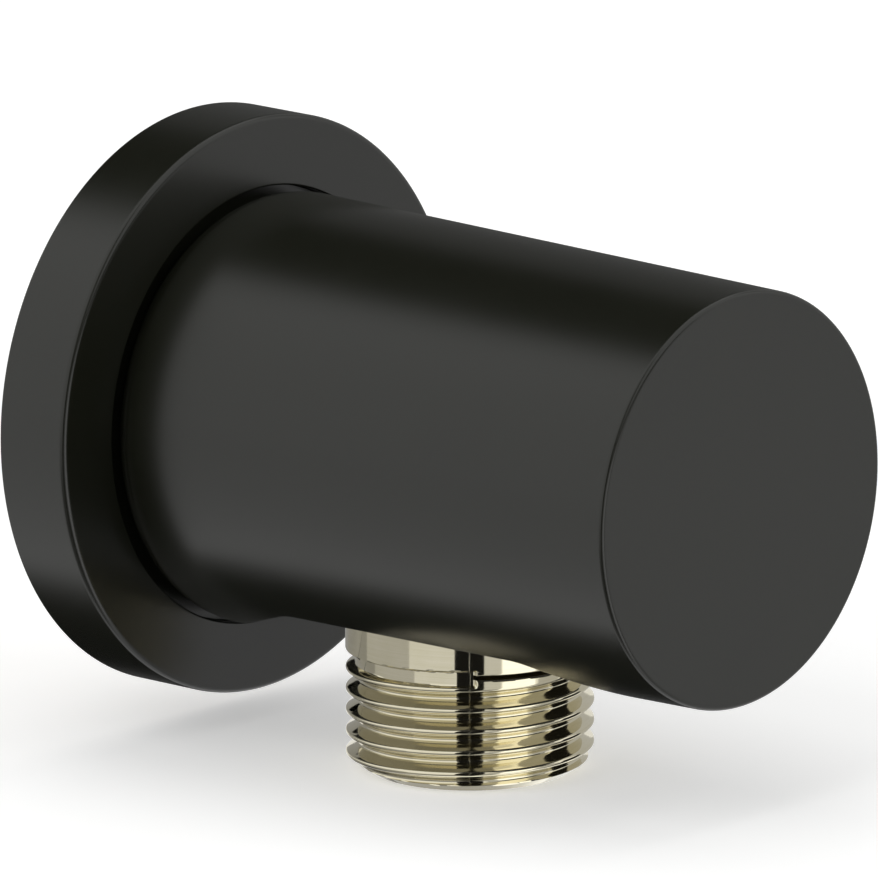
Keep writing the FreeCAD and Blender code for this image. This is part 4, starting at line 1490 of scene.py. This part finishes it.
@dataclass
class Studio:
    """Pale floor under the outlet, white walls, soft lamps and the cards that shape the reflections."""
    floor_drop: float = 27.68
    floor_half: float = 3.0
    floor_colour: str = "#f8f8f7"
    whitening: float = 0.36
    fill: float = 0.45
    groups: tuple[tuple[str, tuple[str, ...]], ...] = (
        ("lacquered", ("flange_skin", "body_skin")),
        ("nickelled", ("outlet_nipple_skin",)),
    )
    lamps: tuple[Panel, ...] = (
        Panel("lamp_left", 178.0, 38.0, 1.5, 1.1, 1.1, 1.5),
        Panel("lamp_right", 292.0, 34.0, 1.5, 1.0, 1.0, 1.1),
        Panel("lamp_top", 90.0, 80.0, 1.5, 1.2, 1.2, 0.9),
    )
    cards: tuple[Card, ...] = (
        FarCard("card_above", 0.01, 69.7, 46.4, 27.0, 18.0, tilt=27.0, fade=0.3),
        FarCard("card_below", 0.01, 70.0, -47.4, 34.5, 18.0, tilt=-25.0, fade=0.3),
        FarCard("card_rear_right", 0.12, 50.0, 5.0, 24.0, 50.0, distance=1.9),
        FarCard("card_left_dim", 0.3, 116.0, -31.0, 48.5, 29.0, distance=1.75),
        FarCard("card_left_lift", 0.65, 116.0, -31.0, 48.5, 29.0, distance=1.7, lit_for="lacquered"),
        FarCard("card_collar_lift", 0.18, 137.2, -11.0, 27.2, 8.0, distance=1.65, lit_for="nickelled"),
        FarCard("card_left", 0.76, 186.2, -11.0, 21.9, 8.0),
        FarCard("card_left_low", 0.26, 186.2, -43.0, 21.9, 24.0),
        FarCard("card_front_left", 0.01, 214.83, 0.0, 6.68, 78.0, fade=0.02),
        FarCard("card_front_right", 0.01, 228.42, 0.0, 6.98, 78.0, fade=0.02),
        FarCard("card_right_narrow", 0.66, 243.0, -25.0, 8.0, 40.0),
        FarCard("card_right_low", 0.3, 242.5, -44.0, 7.5, 24.0, distance=1.55),
        FarCard("card_right_bright", 1.6, 268.0, -22.0, 16.5, 26.0),
        FarCard("card_right_band", 0.03, 272.0, 15.0, 33.0, 8.0),
        FarCard("card_right_grey", 0.5, 299.0, -25.0, 12.0, 30.0),
        FarCard("card_right_dark", 0.01, 328.0, -22.0, 15.0, 34.0, distance=1.75),
        FarCard("card_right_lift", 0.76, 328.0, -22.0, 15.0, 34.0, distance=1.7, lit_for="lacquered"),
        FarCard("card_right_edge", 0.5, 2.0, 5.0, 24.0, 40.0, distance=1.85),
        FarCard("card_under", 0.42, 41.5, -58.0, 40.0, 25.0, distance=1.5, lit_for="nickelled"),
        FarCard("card_rear_lift", 0.75, 50.0, 5.0, 24.0, 50.0, distance=1.85, lit_for="nickelled"),
        FlangeCard("card_at_flange", 0.28, lit_for="nickelled"),
    )

    def build(self) -> None:
        """Lay the floor, light the room and hang the lamps and cards."""
        self.lay_floor()
        self.light_world()
        for group, names in self.groups:
            pieces = bpy.data.collections.new(group)
            for name in names:
                pieces.objects.link(bpy.data.objects[name])
        for item in (*self.lamps, *self.cards):
            item.build()
        log.info("studio: %d lamps and %d cards", len(self.lamps), len(self.cards))

    def lay_floor(self) -> None:
        """Lay one level sheet that the outlet's end stands on.

        The camera sees the lit paper + whitening x white, which is white outside the shadow. Seen from below
        the sheet is clear.
        """
        reach, level = self.floor_half, -self.floor_drop * MM
        sides = ((-1, -1), (1, -1), (1, 1), (-1, 1))
        corners = [(reach * across, reach * along, level) for across, along in sides]
        mesh = bpy.data.meshes.new("floor")
        mesh.from_pydata(corners, [], [(0, 1, 2, 3)])
        floor = add_object("floor", mesh)
        made = bpy.data.materials.new("pale_floor")
        tree = empty_tree(made)
        paper = add_node(tree, "ShaderNodeBsdfDiffuse", None, {"Color": linear(self.floor_colour)})
        seen = add_node(tree, "ShaderNodeLightPath").outputs["Is Camera Ray"]
        glow = add_node(tree, "ShaderNodeMath", {"operation": "MULTIPLY"}, {0: seen, 1: self.whitening})
        white = add_node(tree, "ShaderNodeEmission", None, {"Color": WHITE, "Strength": glow.outputs[0]})
        bright = add_node(tree, "ShaderNodeAddShader", None, {0: paper.outputs[0], 1: white.outputs[0]})
        clear = add_node(tree, "ShaderNodeBsdfTransparent")
        under = add_node(tree, "ShaderNodeNewGeometry").outputs["Backfacing"]
        both = add_node(tree, "ShaderNodeMixShader", None, {
            0: under, 1: bright.outputs[0], 2: clear.outputs[0]})
        add_node(tree, "ShaderNodeOutputMaterial", None, {"Surface": both.outputs[0]})
        mesh.materials.append(made)
        floor.visible_glossy = False

    def light_world(self) -> None:
        """Make the room white to the eye and in reflections, and a softer fill for everything else."""
        world = bpy.data.worlds.new("white_room")
        bpy.context.scene.world = world
        tree = empty_tree(world)
        path = add_node(tree, "ShaderNodeLightPath")
        seen = add_node(tree, "ShaderNodeMath", {"operation": "MAXIMUM"}, {
            0: path.outputs["Is Camera Ray"], 1: path.outputs["Is Glossy Ray"]})
        seen = add_node(tree, "ShaderNodeMath", {"operation": "MAXIMUM"}, {
            0: seen.outputs[0], 1: path.outputs["Is Transmission Ray"]})
        fill = add_node(tree, "ShaderNodeBackground", None, {"Color": WHITE, "Strength": self.fill})
        white = add_node(tree, "ShaderNodeBackground", None, {"Color": WHITE, "Strength": 1.0})
        both = add_node(tree, "ShaderNodeMixShader", None, {
            0: seen.outputs[0], 1: fill.outputs[0], 2: white.outputs[0]})
        add_node(tree, "ShaderNodeOutputWorld", None, {"Surface": both.outputs[0]})


@dataclass(frozen=True)
class ProductCamera:
    """The photograph's long lens, left of the part's front and a little above it."""
    place: tuple[float, float, float] = (-1035.78, -947.14, 323.51)
    aim: tuple[float, float, float] = (-1.35, -28.48, -0.08)
    lens: float = 684.3
    sensor: float = 36.0
    clip: tuple[float, float] = (0.05, 30.0)

    def build(self) -> None:
        """Set the camera up level, looking from its place to the point in the frame's middle."""
        data = bpy.data.cameras.new("product_camera")
        data.lens, data.sensor_width = self.lens, self.sensor
        data.clip_start, data.clip_end = self.clip
        camera = add_object("product_camera", data)
        stand(camera, Vector(self.place) * MM, Vector(self.place) - Vector(self.aim))
        bpy.context.scene.camera = camera


def main() -> None:
    """Build the part's groups in order, then the studio and the camera."""
    logging.basicConfig(level=logging.INFO, format="%(name)s %(message)s")
    bpy.context.scene.view_settings.view_transform = "Standard"
    fitting = (WallFlange(), ElbowBody(), WallConnector(), HoseOutlet(), CheckValve())
    for group in (*fitting, Studio(), ProductCamera()):
        group.build()
    bpy.context.view_layer.update()


if __name__ == "__main__":
    main()
